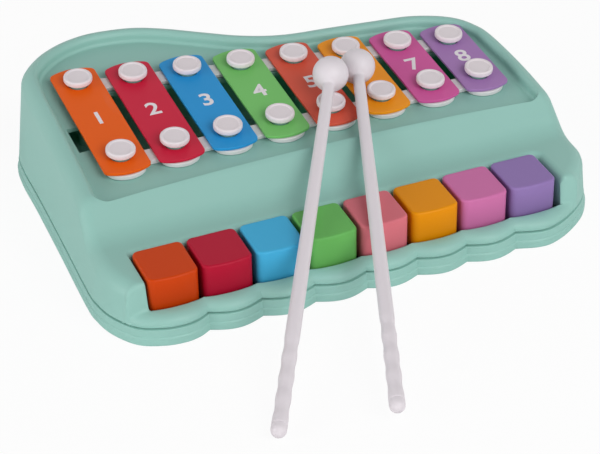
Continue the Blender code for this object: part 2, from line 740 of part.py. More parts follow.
def make_felts():
    felt = make_material("felt", FELT, 0.95)
    mesh = prism("hammer_rest_felt", [rest_strip_box()], rest_height() - FELT_THICKNESS,
                 rest_height())
    add_object("hammer_rest_felt", mesh, parts, felt)
    pressed = KEY_FRONT_Y + KEY_FELT_SETBACK - KEY_SHAFT.y
    drop = KEY_BOTTOM - KEY_SHAFT.z
    top = KEY_SHAFT.z + pressed * sin(KEY_TRAVEL) + drop * cos(KEY_TRAVEL) - GAP
    y0 = KEY_FRONT_Y + KEY_FELT_SETBACK
    box = rectangle(key_x(0) - KEY_ARM_WIDTH, key_x(COUNT - 1) + KEY_ARM_WIDTH, y0,
                    y0 + KEY_FELT_DEPTH)
    add_object("key_stop_felt", prism("key_stop_felt", [box], WALL + GAP, top), parts, felt)


def make_shafts():
    left, _, right = rib_places()
    steel = make_material("shaft_steel", STEEL, 0.3, 1.0)
    for name, place in (("key_shaft", KEY_SHAFT), ("hammer_shaft", HAMMER_SHAFT)):
        mesh = rod(name, SHAFT_RADIUS, left - SHAFT_OUT, right + SHAFT_OUT, [place.yz])
        add_object(name, mesh, parts, steel)


def key_block():
    """The key's visible block, in coordinates from its shaft, with a bulged front."""
    front = KEY_FRONT_Y - KEY_SHAFT.y
    back = front + KEY_DEPTH
    half = KEY_WIDTH / 2
    steps = 4
    outline = [(half, back), (-half, back)]
    for i in range(steps + 1):
        share = i / steps
        bulge = KEY_BULGE * sin(pi * share)
        outline.append((-half + KEY_WIDTH * share, front - bulge))
    bm = bmesh.new()
    add_prism(bm, outline, 0, KEY_BACK_HEIGHT)
    for vert in bm.verts:
        if vert.co.z:
            rise = (vert.co.y - front) / KEY_DEPTH
            vert.co.z = KEY_FRONT_HEIGHT + (KEY_BACK_HEIGHT - KEY_FRONT_HEIGHT) * rise
        else:
            vert.co.z = KEY_BOTTOM
    bmesh.ops.translate(bm, verts=bm.verts[:], vec=(0, 0, -KEY_SHAFT.z))
    bmesh.ops.recalc_face_normals(bm, faces=bm.faces[:])
    bottom = KEY_BOTTOM - KEY_SHAFT.z
    edges = [edge for edge in bm.edges
             if max(vert.co.z for vert in edge.verts) > bottom + OVERRUN
             and edge.calc_face_angle() > radians(30)]
    bmesh.ops.bevel(bm, geom=edges, offset=KEY_ROUND, segments=2, profile=0.5, affect="EDGES",
                    material=-1)
    return mesh_from(bm, "key_block")


def make_keys():
    """Eight keys share one mesh: block, arm, hub on the shaft, and the tail under the hammer."""
    front = KEY_FRONT_Y - KEY_SHAFT.y
    back = front + KEY_DEPTH
    half = KEY_WIDTH / 2 - KEY_WALL
    block = add_cutter("key_block", key_block())
    bottom = KEY_BOTTOM - KEY_SHAFT.z
    roof = KEY_FRONT_HEIGHT - KEY_SHAFT.z - KEY_WALL
    hollow = rectangle(-half, half, front + KEY_WALL, back - KEY_WALL)
    boolean(block, add_cutter("key_hollow", prism("key_hollow", [hollow], bottom - OVERRUN, roof)))
    thick = KEY_ARM_THICKNESS / 2
    touch = degrees(asin(thick / HUB_RADIUS))
    arm = [(back - KEY_ARM_INTO_BLOCK, -thick), *arc((0, 0), HUB_RADIUS, 180 + touch,
                                                     360 - touch, 4),
           (KEY_TAIL_END, -thick), (KEY_TAIL_END, thick),
           *arc((0, 0), HUB_RADIUS, touch, 180 - touch, 4), (back - KEY_ARM_INTO_BLOCK, thick)]
    half_arm = KEY_ARM_WIDTH / 2
    lever = add_cutter("key_lever", prism("key_lever", [arm], -half_arm, half_arm, "X"))
    bm = bmesh.new()
    add_prism(bm, rectangle(0, tail_reach(), KEY_TAIL_START, KEY_TAIL_END), -thick, thick)
    boolean(lever, add_cutter("key_tail", mesh_from(bm, "key_tail")), "UNION")
    boolean(lever, block, "UNION")
    bore = rod("key_bore", SHAFT_RADIUS + SHAFT_PLAY, -KEY_WIDTH, KEY_WIDTH, [(0, 0)])
    boolean(lever, add_cutter("key_bore", bore))
    shape = baked_mesh(lever, "key")
    bpy.data.objects.remove(bpy.data.objects["key_hollow"], do_unlink=True)
    for i, colour in enumerate(KEY_COLOURS):
        name = f"piano_key_{i + 1}"
        material = make_material(name, colour, 0.3)
        key = add_object(name, shape.copy(), parts, material)
        key.location = KEY_SHAFT + Vector((key_x(i), 0, 0))


def make_hammers():
    outline, _ = hammer_shape()
    half = HAMMER_WIDTH / 2
    body = add_cutter("hammer_body", prism("hammer_body", [outline], -half, half, "X"))
    bore = rod("hammer_bore", SHAFT_RADIUS + SHAFT_PLAY, -OVERRUN, OVERRUN, [(0, 0)])
    boolean(body, add_cutter("hammer_bore", bore))
    shape = baked_mesh(body, "hammer")
    material = make_material("hammer_plastic", WHITE, 0.45)
    for i in range(COUNT):
        hammer = add_object(f"hammer_{i + 1}", shape.copy(), parts, material)
        hammer.location = HAMMER_SHAFT + Vector((bar_x(i), 0, 0))


def end_arc(width, corner, bulge, facing):
    """A bar's end: an arc over its width that stands out past its corners."""
    radius = (width**2 / 4 + bulge**2) / (2 * bulge)
    reach = degrees(atan2(width / 2, radius - bulge))
    middle = 90 * facing
    centre = (0, facing * (corner + bulge - radius))
    return arc(centre, radius, middle - reach, middle + reach, BAR_END_STEPS)


def make_bars():
    for i, colour in enumerate(BAR_COLOURS):
        name = f"bar_{i + 1}"
        span = bar_span(i)
        back = [(x, y + span) for x, y in end_arc(BAR_WIDTH, BAR_BACK_CORNER, BAR_END_BULGE, 1)]
        outline = back + end_arc(BAR_WIDTH, BAR_FRONT_CORNER, BAR_END_BULGE, -1)
        holes = [circle((0, 0), BAR_HOLE_RADIUS), circle((0, span), BAR_HOLE_RADIUS)]
        bar = plate(name, [outline, *holes], BAR_THICKNESS, make_material(name, colour, 0.28))
        seat_on_deck(bar, bar_x(i), 0, BAR_BOTTOM + BAR_THICKNESS / 2)


def strip_loops(facing, row_y):
    """A cushion strip: lobes under the bar ends on one side, a straight edge on the other."""
    outer = []
    for i in range(COUNT):
        for across, reach in zip(STRIP_LOBE_WIDTH_SHARES, STRIP_LOBE_REACH_SHARES):
            x = bar_x(i) + across * BAR_PITCH
            out = STRIP_NECK + (STRIP_LOBE_REACH - STRIP_NECK) * reach
            outer.append((x, row_y(x) + facing * out))
    inner = [(x, row_y(x) - facing * STRIP_INNER_EDGE) for x in (outer[-1][0], outer[0][0])]
    holes = [circle((bar_x(i), row_y(bar_x(i))), POST_RADIUS + GAP) for i in range(COUNT)]
    return [outer + inner, *holes]


def make_strips():
    soft_white = make_material("strip_plastic", WHITE, 0.5)
    lean = (SHORTEST_SPAN - LONGEST_SPAN) / ((COUNT - 1) * BAR_PITCH)

    def back_row(x):
        return LONGEST_SPAN + lean * (x - bar_x(0))

    for name, facing, row_y in (("cushion_strip_front", -1, lambda x: 0),
                                ("cushion_strip_back", 1, back_row)):
        strip = plate(name, strip_loops(facing, row_y), STRIP_THICKNESS, soft_white)
        seat_on_deck(strip, 0, 0, STRIP_BOTTOM + STRIP_THICKNESS / 2)


def make_caps():
    cap_white = make_material("cap_plastic", WHITE, 0.35)
    top = CAP_THICKNESS
    edge = (CAP_RADIUS - CAP_EDGE_ROUND, top - CAP_EDGE_ROUND)
    profile = [(0, top - CAP_DISH), *arc(edge, CAP_EDGE_ROUND, 90, 0, 2), (CAP_RADIUS, 0),
               (SPIGOT_RADIUS, 0), (SPIGOT_RADIUS, -SPIGOT_LENGTH), (0, -SPIGOT_LENGTH)]
    for row, name in enumerate(("cap_front", "cap_back")):
        for i in range(COUNT):
            cap = turned(f"{name}_{i + 1}", profile, ROUND_SIDES, parts, cap_white)
            seat_on_deck(cap, bar_x(i), row * bar_span(i), CAP_BOTTOM)


def make_screws():
    """Six cross-head screws that go up through the base's bosses."""
    steel = make_material("screw_steel", STEEL, 0.35, 1.0)
    top = SCREW_RECESS_DEPTH - GAP
    tip = top + SCREW_LENGTH
    profile = [(0, tip), (SCREW_RADIUS, tip - SCREW_RADIUS), (SCREW_RADIUS, top),
               (SCREW_HEAD_RADIUS, top), (SCREW_HEAD_RADIUS, top - SCREW_HEAD_THICKNESS),
               (0, top - SCREW_HEAD_THICKNESS)]
    for i, place in enumerate(boss_places()):
        screw = turned(f"base_screw_{i + 1}", profile, BORE_SIDES, parts, steel)
        screw.location = (*place, 0)


def stick_radius(share):
    """The stick grows from its neck to its end, and the grip dips at each waist."""
    plain = STICK_NECK_RADIUS + (STICK_END_RADIUS - STICK_NECK_RADIUS) * share
    from_end = (1 - share) * MALLET_LENGTH - GRIP_END_LENGTH
    waist = from_end / GRIP_WAIST_SPACING
    if -0.5 < waist < GRIP_WAISTS - 0.5:
        return plain - GRIP_WAIST_DEPTH * cos(pi * (waist - round(waist))) ** 2
    return plain


def mallet_profile():
    """(radius, height) from the ball's top, at height BALL_RADIUS, down to the stick's end."""
    steps = 9
    neck = STICK_NECK_RADIUS
    last = 180 - degrees(atan2(neck, BALL_RADIUS))
    ball = [(BALL_RADIUS * sin(radians(last * i / steps)),
             BALL_RADIUS * cos(radians(last * i / steps))) for i in range(steps + 1)]
    ball[0] = (0, BALL_RADIUS)
    first = GRIP_END_LENGTH + (GRIP_WAISTS - 0.5) * GRIP_WAIST_SPACING
    shares = [1 - (first - i * GRIP_WAIST_SPACING / 2) / MALLET_LENGTH
              for i in range(2 * GRIP_WAISTS + 1)]
    stick = [(stick_radius(share), -share * MALLET_LENGTH) for share in shares]
    end = STICK_END_RADIUS
    rounded = arc((0, end - MALLET_LENGTH), end, 0, -90, 3)[:-1]
    return ball + stick + rounded + [(0, -MALLET_LENGTH)]


def make_mallet(name, bar, aside, behind, turn, on_cap):
    """A mallet laid with its ball on a bar or a cap, and its stick on the keys or the crest."""
    material = make_material(name, WHITE, 0.4)
    ball_y = FRONT_ROW_Y + behind
    seat = BAR_TOP / cos(DECK_TILT)
    if on_cap:
        seat += CAP_OVER_BAR + CAP_THICKNESS
    ball_z = floor_height(ball_y) + seat + BALL_RADIUS / cos(DECK_TILT) + GAP
    crest_y = FRONT_Y + SLOPE_FOOT_SETBACK + SLOPE_LENGTH
    edges = [(KEY_FRONT_Y + KEY_ROUND, KEY_FRONT_HEIGHT),
             (KEY_FRONT_Y + KEY_DEPTH, KEY_BACK_HEIGHT), (crest_y, top_height(crest_y))]
    under = (STICK_NECK_RADIUS + STICK_END_RADIUS) / 2 + GAP
    fall = min((ball_z - z - under) / (ball_y - y) for y, z in edges)
    direction = Vector((-sin(turn), -cos(turn), -cos(turn) * fall)).normalized()
    mallet = turned(name, mallet_profile(), STICK_SIDES, parts, material)
    mallet.location = (bar_x(bar) + aside, ball_y, ball_z)
    mallet.rotation_mode = "QUATERNION"
    mallet.rotation_quaternion = direction.to_track_quat("-Z", "Y")


clear_scene()
parts = make_collection("xylophone_piano")
cutters = make_collection("cutters")
mint = make_material("mint_plastic", MINT, 0.42)
PROFILE = height_profile()
make_housing()
make_base()
make_shafts()
make_keys()
make_hammers()
make_felts()
make_strips()
make_bars()
make_caps()
make_screws()
make_mallet("mallet_left", LEFT_BALL_BAR, LEFT_BALL_ASIDE, LEFT_BALL_BEHIND, LEFT_TURN, True)
make_mallet("mallet_right", RIGHT_BALL_BAR, RIGHT_BALL_ASIDE, RIGHT_BALL_BEHIND, RIGHT_TURN,
            False)
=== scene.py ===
import json
from math import asin, cos, degrees, pi, radians, sin, tan

import bmesh
import bpy
from mathutils import Matrix, Vector

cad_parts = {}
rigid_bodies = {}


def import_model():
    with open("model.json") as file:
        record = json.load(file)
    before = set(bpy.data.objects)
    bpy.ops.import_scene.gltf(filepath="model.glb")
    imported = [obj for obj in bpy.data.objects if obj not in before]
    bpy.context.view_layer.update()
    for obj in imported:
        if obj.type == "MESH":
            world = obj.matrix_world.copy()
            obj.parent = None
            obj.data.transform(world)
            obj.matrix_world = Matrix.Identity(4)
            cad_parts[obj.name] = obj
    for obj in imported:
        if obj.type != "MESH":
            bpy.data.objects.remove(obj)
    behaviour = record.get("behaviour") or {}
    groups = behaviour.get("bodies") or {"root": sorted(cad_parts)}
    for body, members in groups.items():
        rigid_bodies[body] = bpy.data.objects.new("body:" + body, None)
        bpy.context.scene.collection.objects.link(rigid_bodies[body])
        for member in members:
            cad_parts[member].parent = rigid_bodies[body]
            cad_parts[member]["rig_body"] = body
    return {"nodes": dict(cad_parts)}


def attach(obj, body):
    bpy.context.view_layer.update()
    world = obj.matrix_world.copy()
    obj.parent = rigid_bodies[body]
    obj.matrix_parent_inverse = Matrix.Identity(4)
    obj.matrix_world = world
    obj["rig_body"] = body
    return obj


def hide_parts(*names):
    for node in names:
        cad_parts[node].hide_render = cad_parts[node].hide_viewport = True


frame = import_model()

scene = bpy.context.scene
for leftover in [item for item in bpy.data.objects if item.name in ("Cube", "Light", "Camera")]:
    bpy.data.objects.remove(leftover, do_unlink=True)
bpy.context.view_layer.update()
scene.view_settings.view_transform = "Standard"
print("frame loaded")


def placeObject(name, data):
    placed = bpy.data.objects.new(name, data)
    scene.collection.objects.link(placed)
    return placed


# Camera

cameraView = {
    "lens": 114.3,                 # mm on a 36 mm sensor
    "azimuth": -22.908,            # degrees round from straight in front of the keys
    "elevation": 32.86,
    "roll": -1.149,
    "aim": (-0.01259, -0.04273, 0.0),
    "distance": 0.9987,
}


def makeCamera():
    turn, lift, roll = (radians(cameraView[key]) for key in ("azimuth", "elevation", "roll"))
    back = Vector((sin(turn) * cos(lift), -cos(turn) * cos(lift), sin(lift)))
    right = Vector((cos(turn), sin(turn), 0))
    up = back.cross(right)
    data = bpy.data.cameras.new("tableCamera")
    data.lens = cameraView["lens"]
    data.sensor_width = 36
    data.clip_start, data.clip_end = 0.05, 20
    camera = placeObject("tableCamera", data)
    axes = (right * cos(roll) + up * sin(roll), up * cos(roll) - right * sin(roll), back)
    place = Vector(cameraView["aim"]) + back * cameraView["distance"]
    camera.matrix_world = Matrix.Translation(place) @ Matrix(axes).transposed().to_4x4()
    scene.camera = camera


makeCamera()
print("camera placed")


# Node helpers

def tint(red, green, blue):    # a display colour, 0 to 255, as the shader wants it
    parts = [value / 255 for value in (red, green, blue)]
    linear = [v / 12.92 if v <= 0.04045 else ((v + 0.055) / 1.055) ** 2.4 for v in parts]
    return (*linear, 1)


def feed(tree, node, inputs):    # each socket, by name or number, from a link or a plain value
    for key, value in inputs.items():
        if isinstance(value, bpy.types.NodeSocket):
            tree.links.new(value, node.inputs[key])
        else:
            node.inputs[key].default_value = value
    return node.outputs


def addNode(tree, kind, settings=None, **inputs):    # i0, i1 and so on are sockets by number
    node = tree.nodes.new(kind)
    for key, value in (settings or {}).items():
        setattr(node, key, value)
    return feed(tree, node, {int(key[1:]) if key[1:].isdigit() else key: value
                             for key, value in inputs.items()})


def mathNode(tree, operation, *values, clamp=False):
    return addNode(tree, "ShaderNodeMath", {"operation": operation, "use_clamp": clamp},
                   **{f"i{i}": value for i, value in enumerate(values)})[0]


def rangeNode(tree, value, low, high, lowShare=0.0, highShare=1.0, smooth=False):
    return addNode(tree, "ShaderNodeMapRange",
                   {"interpolation_type": "SMOOTHSTEP" if smooth else "LINEAR"},
                   **{"Value": value, "From Min": low, "From Max": high,
                      "To Min": lowShare, "To Max": highShare})[0]


def mixColours(tree, share, first, second):
    return addNode(tree, "ShaderNodeMix", {"data_type": "RGBA"}, i0=share, i6=first,
                   i7=second)[2]


def mixShaders(tree, share, first, second):
    return addNode(tree, "ShaderNodeMixShader", i0=share, i1=first, i2=second)[0]


def noiseNode(tree, coords, scale, detail, roughness=0.5):
    return addNode(tree, "ShaderNodeTexNoise", Vector=coords, Scale=scale, Detail=detail,
                   Roughness=roughness)


def objectCoords(tree):
    return addNode(tree, "ShaderNodeTexCoord")["Object"]


def objectAxes(tree):
    return addNode(tree, "ShaderNodeSeparateXYZ", Vector=objectCoords(tree))


def startGroup(name, inputs, outputs):    # a tuple of four numbers makes a colour socket
    tree = bpy.data.node_groups.new(name, "ShaderNodeTree")
    for label, value in inputs.items():
        kind = "NodeSocketColor" if isinstance(value, tuple) else "NodeSocketFloat"
        socket = tree.interface.new_socket(name=label, in_out="INPUT", socket_type=kind)
        socket.default_value = value
    for label, kind in outputs.items():
        tree.interface.new_socket(name=label, in_out="OUTPUT", socket_type=kind)
    return tree, tree.nodes.new("NodeGroupInput").outputs, tree.nodes.new("NodeGroupOutput")


def useGroup(tree, group, **inputs):
    node = tree.nodes.new("ShaderNodeGroup")
    node.node_tree = group
    return feed(tree, node, {key.replace("_", " "): value for key, value in inputs.items()})


# Shared surface effects

scuffLines = {
    "warp": 0.02,
    "warpScale": 12.0,
    "turn": (0.3, 0.2, 0.7),
    "stretch": (1.0, 0.06, 0.5),
    "edge": (0.66, 0.74),        # noise where a line starts, and where it is full
    "patchScale": 22.0,
    "patchEdge": (0.45, 0.65),
}
# where the mint plastic gets its painted glow, inside the case
paintedGlowPlaces = {
    "depth": (0.0012, 0.006),    # under the pocket's floor, where it starts and is full
    "side": 0.1200,
    "front": 0.002,              # behind the slope's crest
    "back": 0.004,               # behind the back row of caps
    "bottom": 0.0012,
}


def makeMouldGrain():    # fine texture of a mould's wall, and slow drifts in its gloss
    tree, entry, out = startGroup(
        "mouldGrain",
        {"Grain Scale": 1600.0, "Drift Scale": 30.0, "Gloss": 0.4, "Gloss Drift": 0.06},
        {"Height": "NodeSocketFloat", "Roughness": "NodeSocketFloat"})
    coords = objectCoords(tree)
    grain = noiseNode(tree, coords, entry["Grain Scale"], 3.0, 0.6)
    drift = noiseNode(tree, coords, entry["Drift Scale"], 4.0, 0.55)
    centred = mathNode(tree, "SUBTRACT", drift[0], 0.5)
    scaled = mathNode(tree, "MULTIPLY_ADD", centred, entry["Gloss Drift"], entry["Gloss"])
    feed(tree, out, {"Height": grain[0], "Roughness": scaled})
    return tree


def makeToneDrift():    # pigment that isn't quite even through the plastic or the paint
    tree, entry, out = startGroup("toneDrift",
                                  {"Colour": (0.5, 0.5, 0.5, 1), "Amount": 0.06, "Scale": 18.0},
                                  {"Colour": "NodeSocketColor"})
    cloud = noiseNode(tree, objectCoords(tree), entry["Scale"], 3.0)
    centred = mathNode(tree, "SUBTRACT", cloud[0], 0.5)
    value = mathNode(tree, "MULTIPLY_ADD", centred, entry["Amount"], 1.0)
    shade = addNode(tree, "ShaderNodeHueSaturation", Value=value, Color=entry["Colour"])
    feed(tree, out, {"Colour": shade[0]})
    return tree


def makeFineScuffs():    # thin rubbed lines from play and from the box, as a mask
    tree, entry, out = startGroup("fineScuffs", {"Scale": 90.0, "Amount": 0.3},
                                  {"Mask": "NodeSocketFloat"})
    coords = objectCoords(tree)
    warp = noiseNode(tree, coords, scuffLines["warpScale"], 1.0)
    moved = addNode(tree, "ShaderNodeVectorMath", {"operation": "MULTIPLY_ADD"},
                    i0=warp[1], i1=[scuffLines["warp"]] * 3, i2=coords)
    turned = addNode(tree, "ShaderNodeMapping", Vector=moved[0],
                     Rotation=scuffLines["turn"], Scale=scuffLines["stretch"])
    lines = noiseNode(tree, turned[0], entry["Scale"], 2.0)
    patches = noiseNode(tree, coords, scuffLines["patchScale"], 2.0)
    both = mathNode(tree, "MULTIPLY",
                    rangeNode(tree, lines[0], *scuffLines["edge"], smooth=True),
                    rangeNode(tree, patches[0], *scuffLines["patchEdge"]))
    feed(tree, out, {"Mask": mathNode(tree, "MULTIPLY", both, entry["Amount"])})
    return tree


def makePaintedInsideGlow():    # painted glow: emission under the pocket's floor, standing in for light inside the case
    tree, entry, out = startGroup("insideShade", {"Depth": paintedGlowPlaces["depth"][0]},
                                  {"Mask": "NodeSocketFloat"})
    x, y, z = objectAxes(tree)
    level = mathNode(tree, "MULTIPLY_ADD", y, tan(bodyShape["tilt"]), pocketFloor(0.0))
    found = rangeNode(tree, mathNode(tree, "SUBTRACT", level, z), entry["Depth"],
                      paintedGlowPlaces["depth"][1], smooth=True)
    behind = mathNode(tree, "MULTIPLY_ADD", x, -rowLean, y)
    backRow = frontRowY + bodyShape["longSpan"] - rowLean * barX(0)
    for operation, value, limit in (
            ("LESS_THAN", mathNode(tree, "ABSOLUTE", x), paintedGlowPlaces["side"]),
            ("GREATER_THAN", y, crestY + paintedGlowPlaces["front"]),
            ("GREATER_THAN", z, paintedGlowPlaces["bottom"]),
            ("LESS_THAN", behind, backRow + paintedGlowPlaces["back"])):
        found = mathNode(tree, "MULTIPLY", found, mathNode(tree, operation, value, limit))
    feed(tree, out, {"Mask": found})
    return tree


mouldGrain = makeMouldGrain()
toneDrift = makeToneDrift()
fineScuffs = makeFineScuffs()


def makeFinish(name, colour, gloss, grain=1600.0, grainDepth=0.00002, scuffs=0.15, sheen=0.0,
               metallic=0.0, shine=0.3, paintedGlowColour=None, paintedFootShade=None):
    material = bpy.data.materials.new(name)
    material.use_nodes = True
    material.diffuse_color = colour
    tree = material.node_tree
    shader = tree.nodes["Principled BSDF"]
    height, roughness = useGroup(tree, mouldGrain, Grain_Scale=grain, Gloss=gloss)
    toned = useGroup(tree, toneDrift, Colour=colour)[0]
    rubbed = useGroup(tree, fineScuffs, Amount=scuffs)[0]
    if paintedFootShade:    # painted shade, darker down the sides: height and share at the foot, then near the top
        low, lowShare, high, highShare = paintedFootShade
        level = rangeNode(tree, objectAxes(tree)[2], low, high, lowShare, highShare)
        toned = addNode(tree, "ShaderNodeHueSaturation", Value=level, Color=toned)[0]
    lifted = [min(1.0, value * 0.8 + 0.12) for value in colour[:3]]
    paler = mixColours(tree, rubbed, toned, (*lifted, 1))
    duller = mathNode(tree, "MULTIPLY_ADD", rubbed, 0.35, roughness, clamp=True)
    bump = addNode(tree, "ShaderNodeBump", Height=height, Strength=0.5, Distance=grainDepth)[0]
    feed(tree, shader, {"Base Color": paler, "Roughness": duller, "Normal": bump,
                        "Metallic": metallic, "Sheen Weight": sheen,
                        "Specular IOR Level": 0.5 if metallic else shine})
    # painted glow: emission that stands in for light inside the hollow case
    if paintedGlowColour:
        glow = mixColours(tree, useGroup(tree, insideShade)[0], (0, 0, 0, 1), paintedGlowColour)
        feed(tree, shader, {"Emission Color": glow, "Emission Strength": 1.0})
    return material


# Piece helpers

def meshFrom(name, bm):
    mesh = bpy.data.meshes.new(name)
    bm.to_mesh(mesh)
    bm.free()
    return mesh


def finishPiece(name, bm, material, body, nodes, sharp, weighted=True):
    bmesh.ops.remove_doubles(bm, verts=bm.verts[:], dist=0.000001)
    bmesh.ops.recalc_face_normals(bm, faces=bm.faces[:])
    mesh = meshFrom(name, bm)
    piece = placeObject(name, mesh)
    mesh.materials.append(material)
    mesh.shade_smooth()
    mesh.set_sharp_from_angle(angle=radians(sharp))
    if weighted:
        modifier = piece.modifiers.new("evenShading", "WEIGHTED_NORMAL")
        modifier.keep_sharp = True
    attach(piece, body)
    if nodes:
        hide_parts(*nodes)


def turnSteps(start, end, steps):    # the sine and cosine at even steps, from degrees
    angles = [radians(start + (end - start) * i / steps) for i in range(steps + 1)]
    return [(sin(a), cos(a)) for a in angles]


def arcPoints(centre, radius, start, end, steps):
    return [Vector((centre[0] + radius * c, centre[1] + radius * s))
            for s, c in turnSteps(start, end, steps)]


def softCorner(start, tip, end, steps):    # from start to end, drawn towards the tip
    return [start.lerp(tip, i / steps).lerp(tip.lerp(end, i / steps), i / steps)
            for i in range(steps + 1)]


def withNeighbours(loop):    # before, point and after, all the way round
    return zip(loop[-1:] + loop[:-1], loop, loop[1:] + loop[:1])


def moveAll(bm, matrix):
    bmesh.ops.transform(bm, verts=bm.verts[:], matrix=matrix)


def faceFrom(bm, points, height=0.0):
    return bm.faces.new([bm.verts.new((point[0], point[1], height)) for point in points])


def extrudeFace(bm, face, shift, dropOld=False):
    grown = bmesh.ops.extrude_face_region(bm, geom=[face])["geom"]
    if dropOld:
        bmesh.ops.delete(bm, geom=[face], context="FACES_ONLY")
    moved = [part for part in grown if isinstance(part, bmesh.types.BMVert)]
    bmesh.ops.translate(bm, verts=moved, vec=shift)
    return next(part for part in grown if isinstance(part, bmesh.types.BMFace))


def addRound(bm, radius, low, high, place, segments=32, narrow=None):    # upright round post
    narrow = radius if narrow is None else narrow
    made = bmesh.ops.create_cone(bm, cap_ends=True, segments=segments, radius1=radius,
                                 radius2=narrow, depth=high - low)["verts"]
    bmesh.ops.translate(bm, verts=made, vec=(place[0], place[1], (low + high) / 2))


def numberVerts(bm, face):    # points keep their number when the face is extruded
    number = bm.verts.layers.int.new("outlinePoint")
    for i, vert in enumerate(face.verts):
        vert[number] = i
    return number


def ringBody(bm, rings):    # one extrusion for each ring, given as its points and its height
    face = faceFrom(bm, *rings[0])
    number = numberVerts(bm, face)
    for i, (places, high) in enumerate(rings[1:]):
        face = extrudeFace(bm, face, (0, 0, 0), dropOld=i > 0)
        for vert in face.verts:
            vert.co = (*places[vert[number]], high)
    bm.verts.layers.int.remove(number)


# Body shape, shared by the case and the base

bodyShape = {
    "count": 8,
    "keyPitch": 0.0280,
    "keyOffset": -0.0048,
    "barPitch": 0.02929,
    "barOffset": 0.0049,
    "width": 0.27460,
    "depth": 0.21840,
    "shortDepth": 0.17380,          # depth behind the short bars
    "lobeDepth": 0.0041,
    "lobeSteps": 14,
    "curveSteps": 9,
    "seam": 0.0090,
    "lip": 0.0154,
    "armFront": 0.0296,
    "armBack": 0.0316,
    "crest": 0.0465,
    "tilt": radians(6.56),
    "armFrontAt": 0.0080,           # from the front
    "armRise": 0.0022,
    "slopeFootAt": 0.0492,
    "slopeLength": 0.0189,
    "riseCuts": (0.13, 0.16),       # shares of the arms' front face taken up by its rounded ends
    "slopeCuts": (0.31, 0.17),
    "profileSteps": 8,
    "pocketDepth": 0.0060,
    "frontRowAt": 0.0980,
    "longSpan": 0.0685,
    "shortSpan": 0.0361,
}
frontY = -bodyShape["depth"] / 2
frontRowY = frontY + bodyShape["frontRowAt"]
crestY = frontY + bodyShape["slopeFootAt"] + bodyShape["slopeLength"]
row = range(bodyShape["count"])
last = row[-1]
rowLean = (bodyShape["shortSpan"] - bodyShape["longSpan"]) / (last * bodyShape["barPitch"])

# Points round the outline: shares of half the width, and of the depth on that side
leftFront = ((-0.693, -0.015), (-0.751, -0.021), (-0.827, -0.013), (-0.911, 0.015),
             (-0.972, 0.076), (-0.997, 0.139), (-1.001, 0.205))
leftBack = ((-0.986, 0.429), (-0.974, 0.634), (-0.968, 0.777), (-0.943, 0.859),
            (-0.861, 0.924), (-0.757, 0.967), (-0.641, 0.990), (-0.533, 0.994),
            (-0.385, 0.980), (-0.257, 0.946), (-0.111, 0.892))
rightBack = ((0.022, 1.062), (0.166, 1.024), (0.358, 1.009), (0.542, 0.994),
             (0.696, 0.980), (0.822, 0.946), (0.911, 0.900), (0.969, 0.836),
             (1.002, 0.752), (1.017, 0.539), (1.003, 0.258))
rightFront = ((0.990, 0.130), (0.928, 0.066), (0.832, 0.017), (0.735, -0.013),
              (0.665, -0.017))


def keyX(i):
    return bodyShape["keyOffset"] + (i - last / 2) * bodyShape["keyPitch"]


def barX(i):
    return bodyShape["barOffset"] + (i - last / 2) * bodyShape["barPitch"]


def barSpan(i):
    return bodyShape["longSpan"] + (bodyShape["shortSpan"] - bodyShape["longSpan"]) * i / last


def smoothThrough(points, steps):    # a soft curve through every point
    ends = [2 * points[0] - points[1], *points, 2 * points[-1] - points[-2]]
    found = []
    for a, b, c, d in zip(ends, ends[1:], ends[2:], ends[3:]):
        for i in range(steps):
            t = i / steps
            found.append(((2 * b) + (c - a) * t + (2 * a - 5 * b + 4 * c - d) * t**2
                          + (3 * b - a - 3 * c + d) * t**3) / 2)
    return found + [points[-1]]


def bodyOutline(steps, lobeSteps):    # round the body on plan, clockwise from the first notch
    half = bodyShape["width"] / 2

    def placed(shares, depth):
        return [Vector((x * half, frontY + y * depth)) for x, y in shares]

    notches = [Vector((keyX(i + 0.5), frontY)) for i in range(last)]
    ring = smoothThrough([notches[0], *placed(leftFront + leftBack, bodyShape["depth"]),
                          *placed(rightBack, bodyShape["shortDepth"]),
                          *placed(rightFront, bodyShape["depth"]), notches[-1]], steps)
    for first, second in reversed(list(zip(notches, notches[1:]))):
        for i in range(1, lobeSteps):
            share = i / lobeSteps
            bulge = Vector((0, -bodyShape["lobeDepth"] * sin(pi * share)))
            ring.append(second.lerp(first, share) + bulge)
        ring.append(first)
    return ring[:-1]


def insetLoop(loop, distance):    # a clockwise loop moved inwards by an even distance
    found = []
    for before, point, after in withNeighbours(loop):
        first = (point - before).normalized()
        second = (after - point).normalized()
        inward = Vector((first.y + second.y, -first.x - second.x)).normalized()
        found.append(point + inward * distance / inward.dot(Vector((first.y, -first.x))))
    return found


def roundedLine(points, cuts, steps):
    found = [points[0]]
    for before, corner, after, cut in zip(points, points[1:], points[2:], cuts):
        start = corner + (before - corner).normalized() * cut
        end = corner + (after - corner).normalized() * cut
        found += softCorner(start, corner, end, steps)
    return found + [points[-1]]


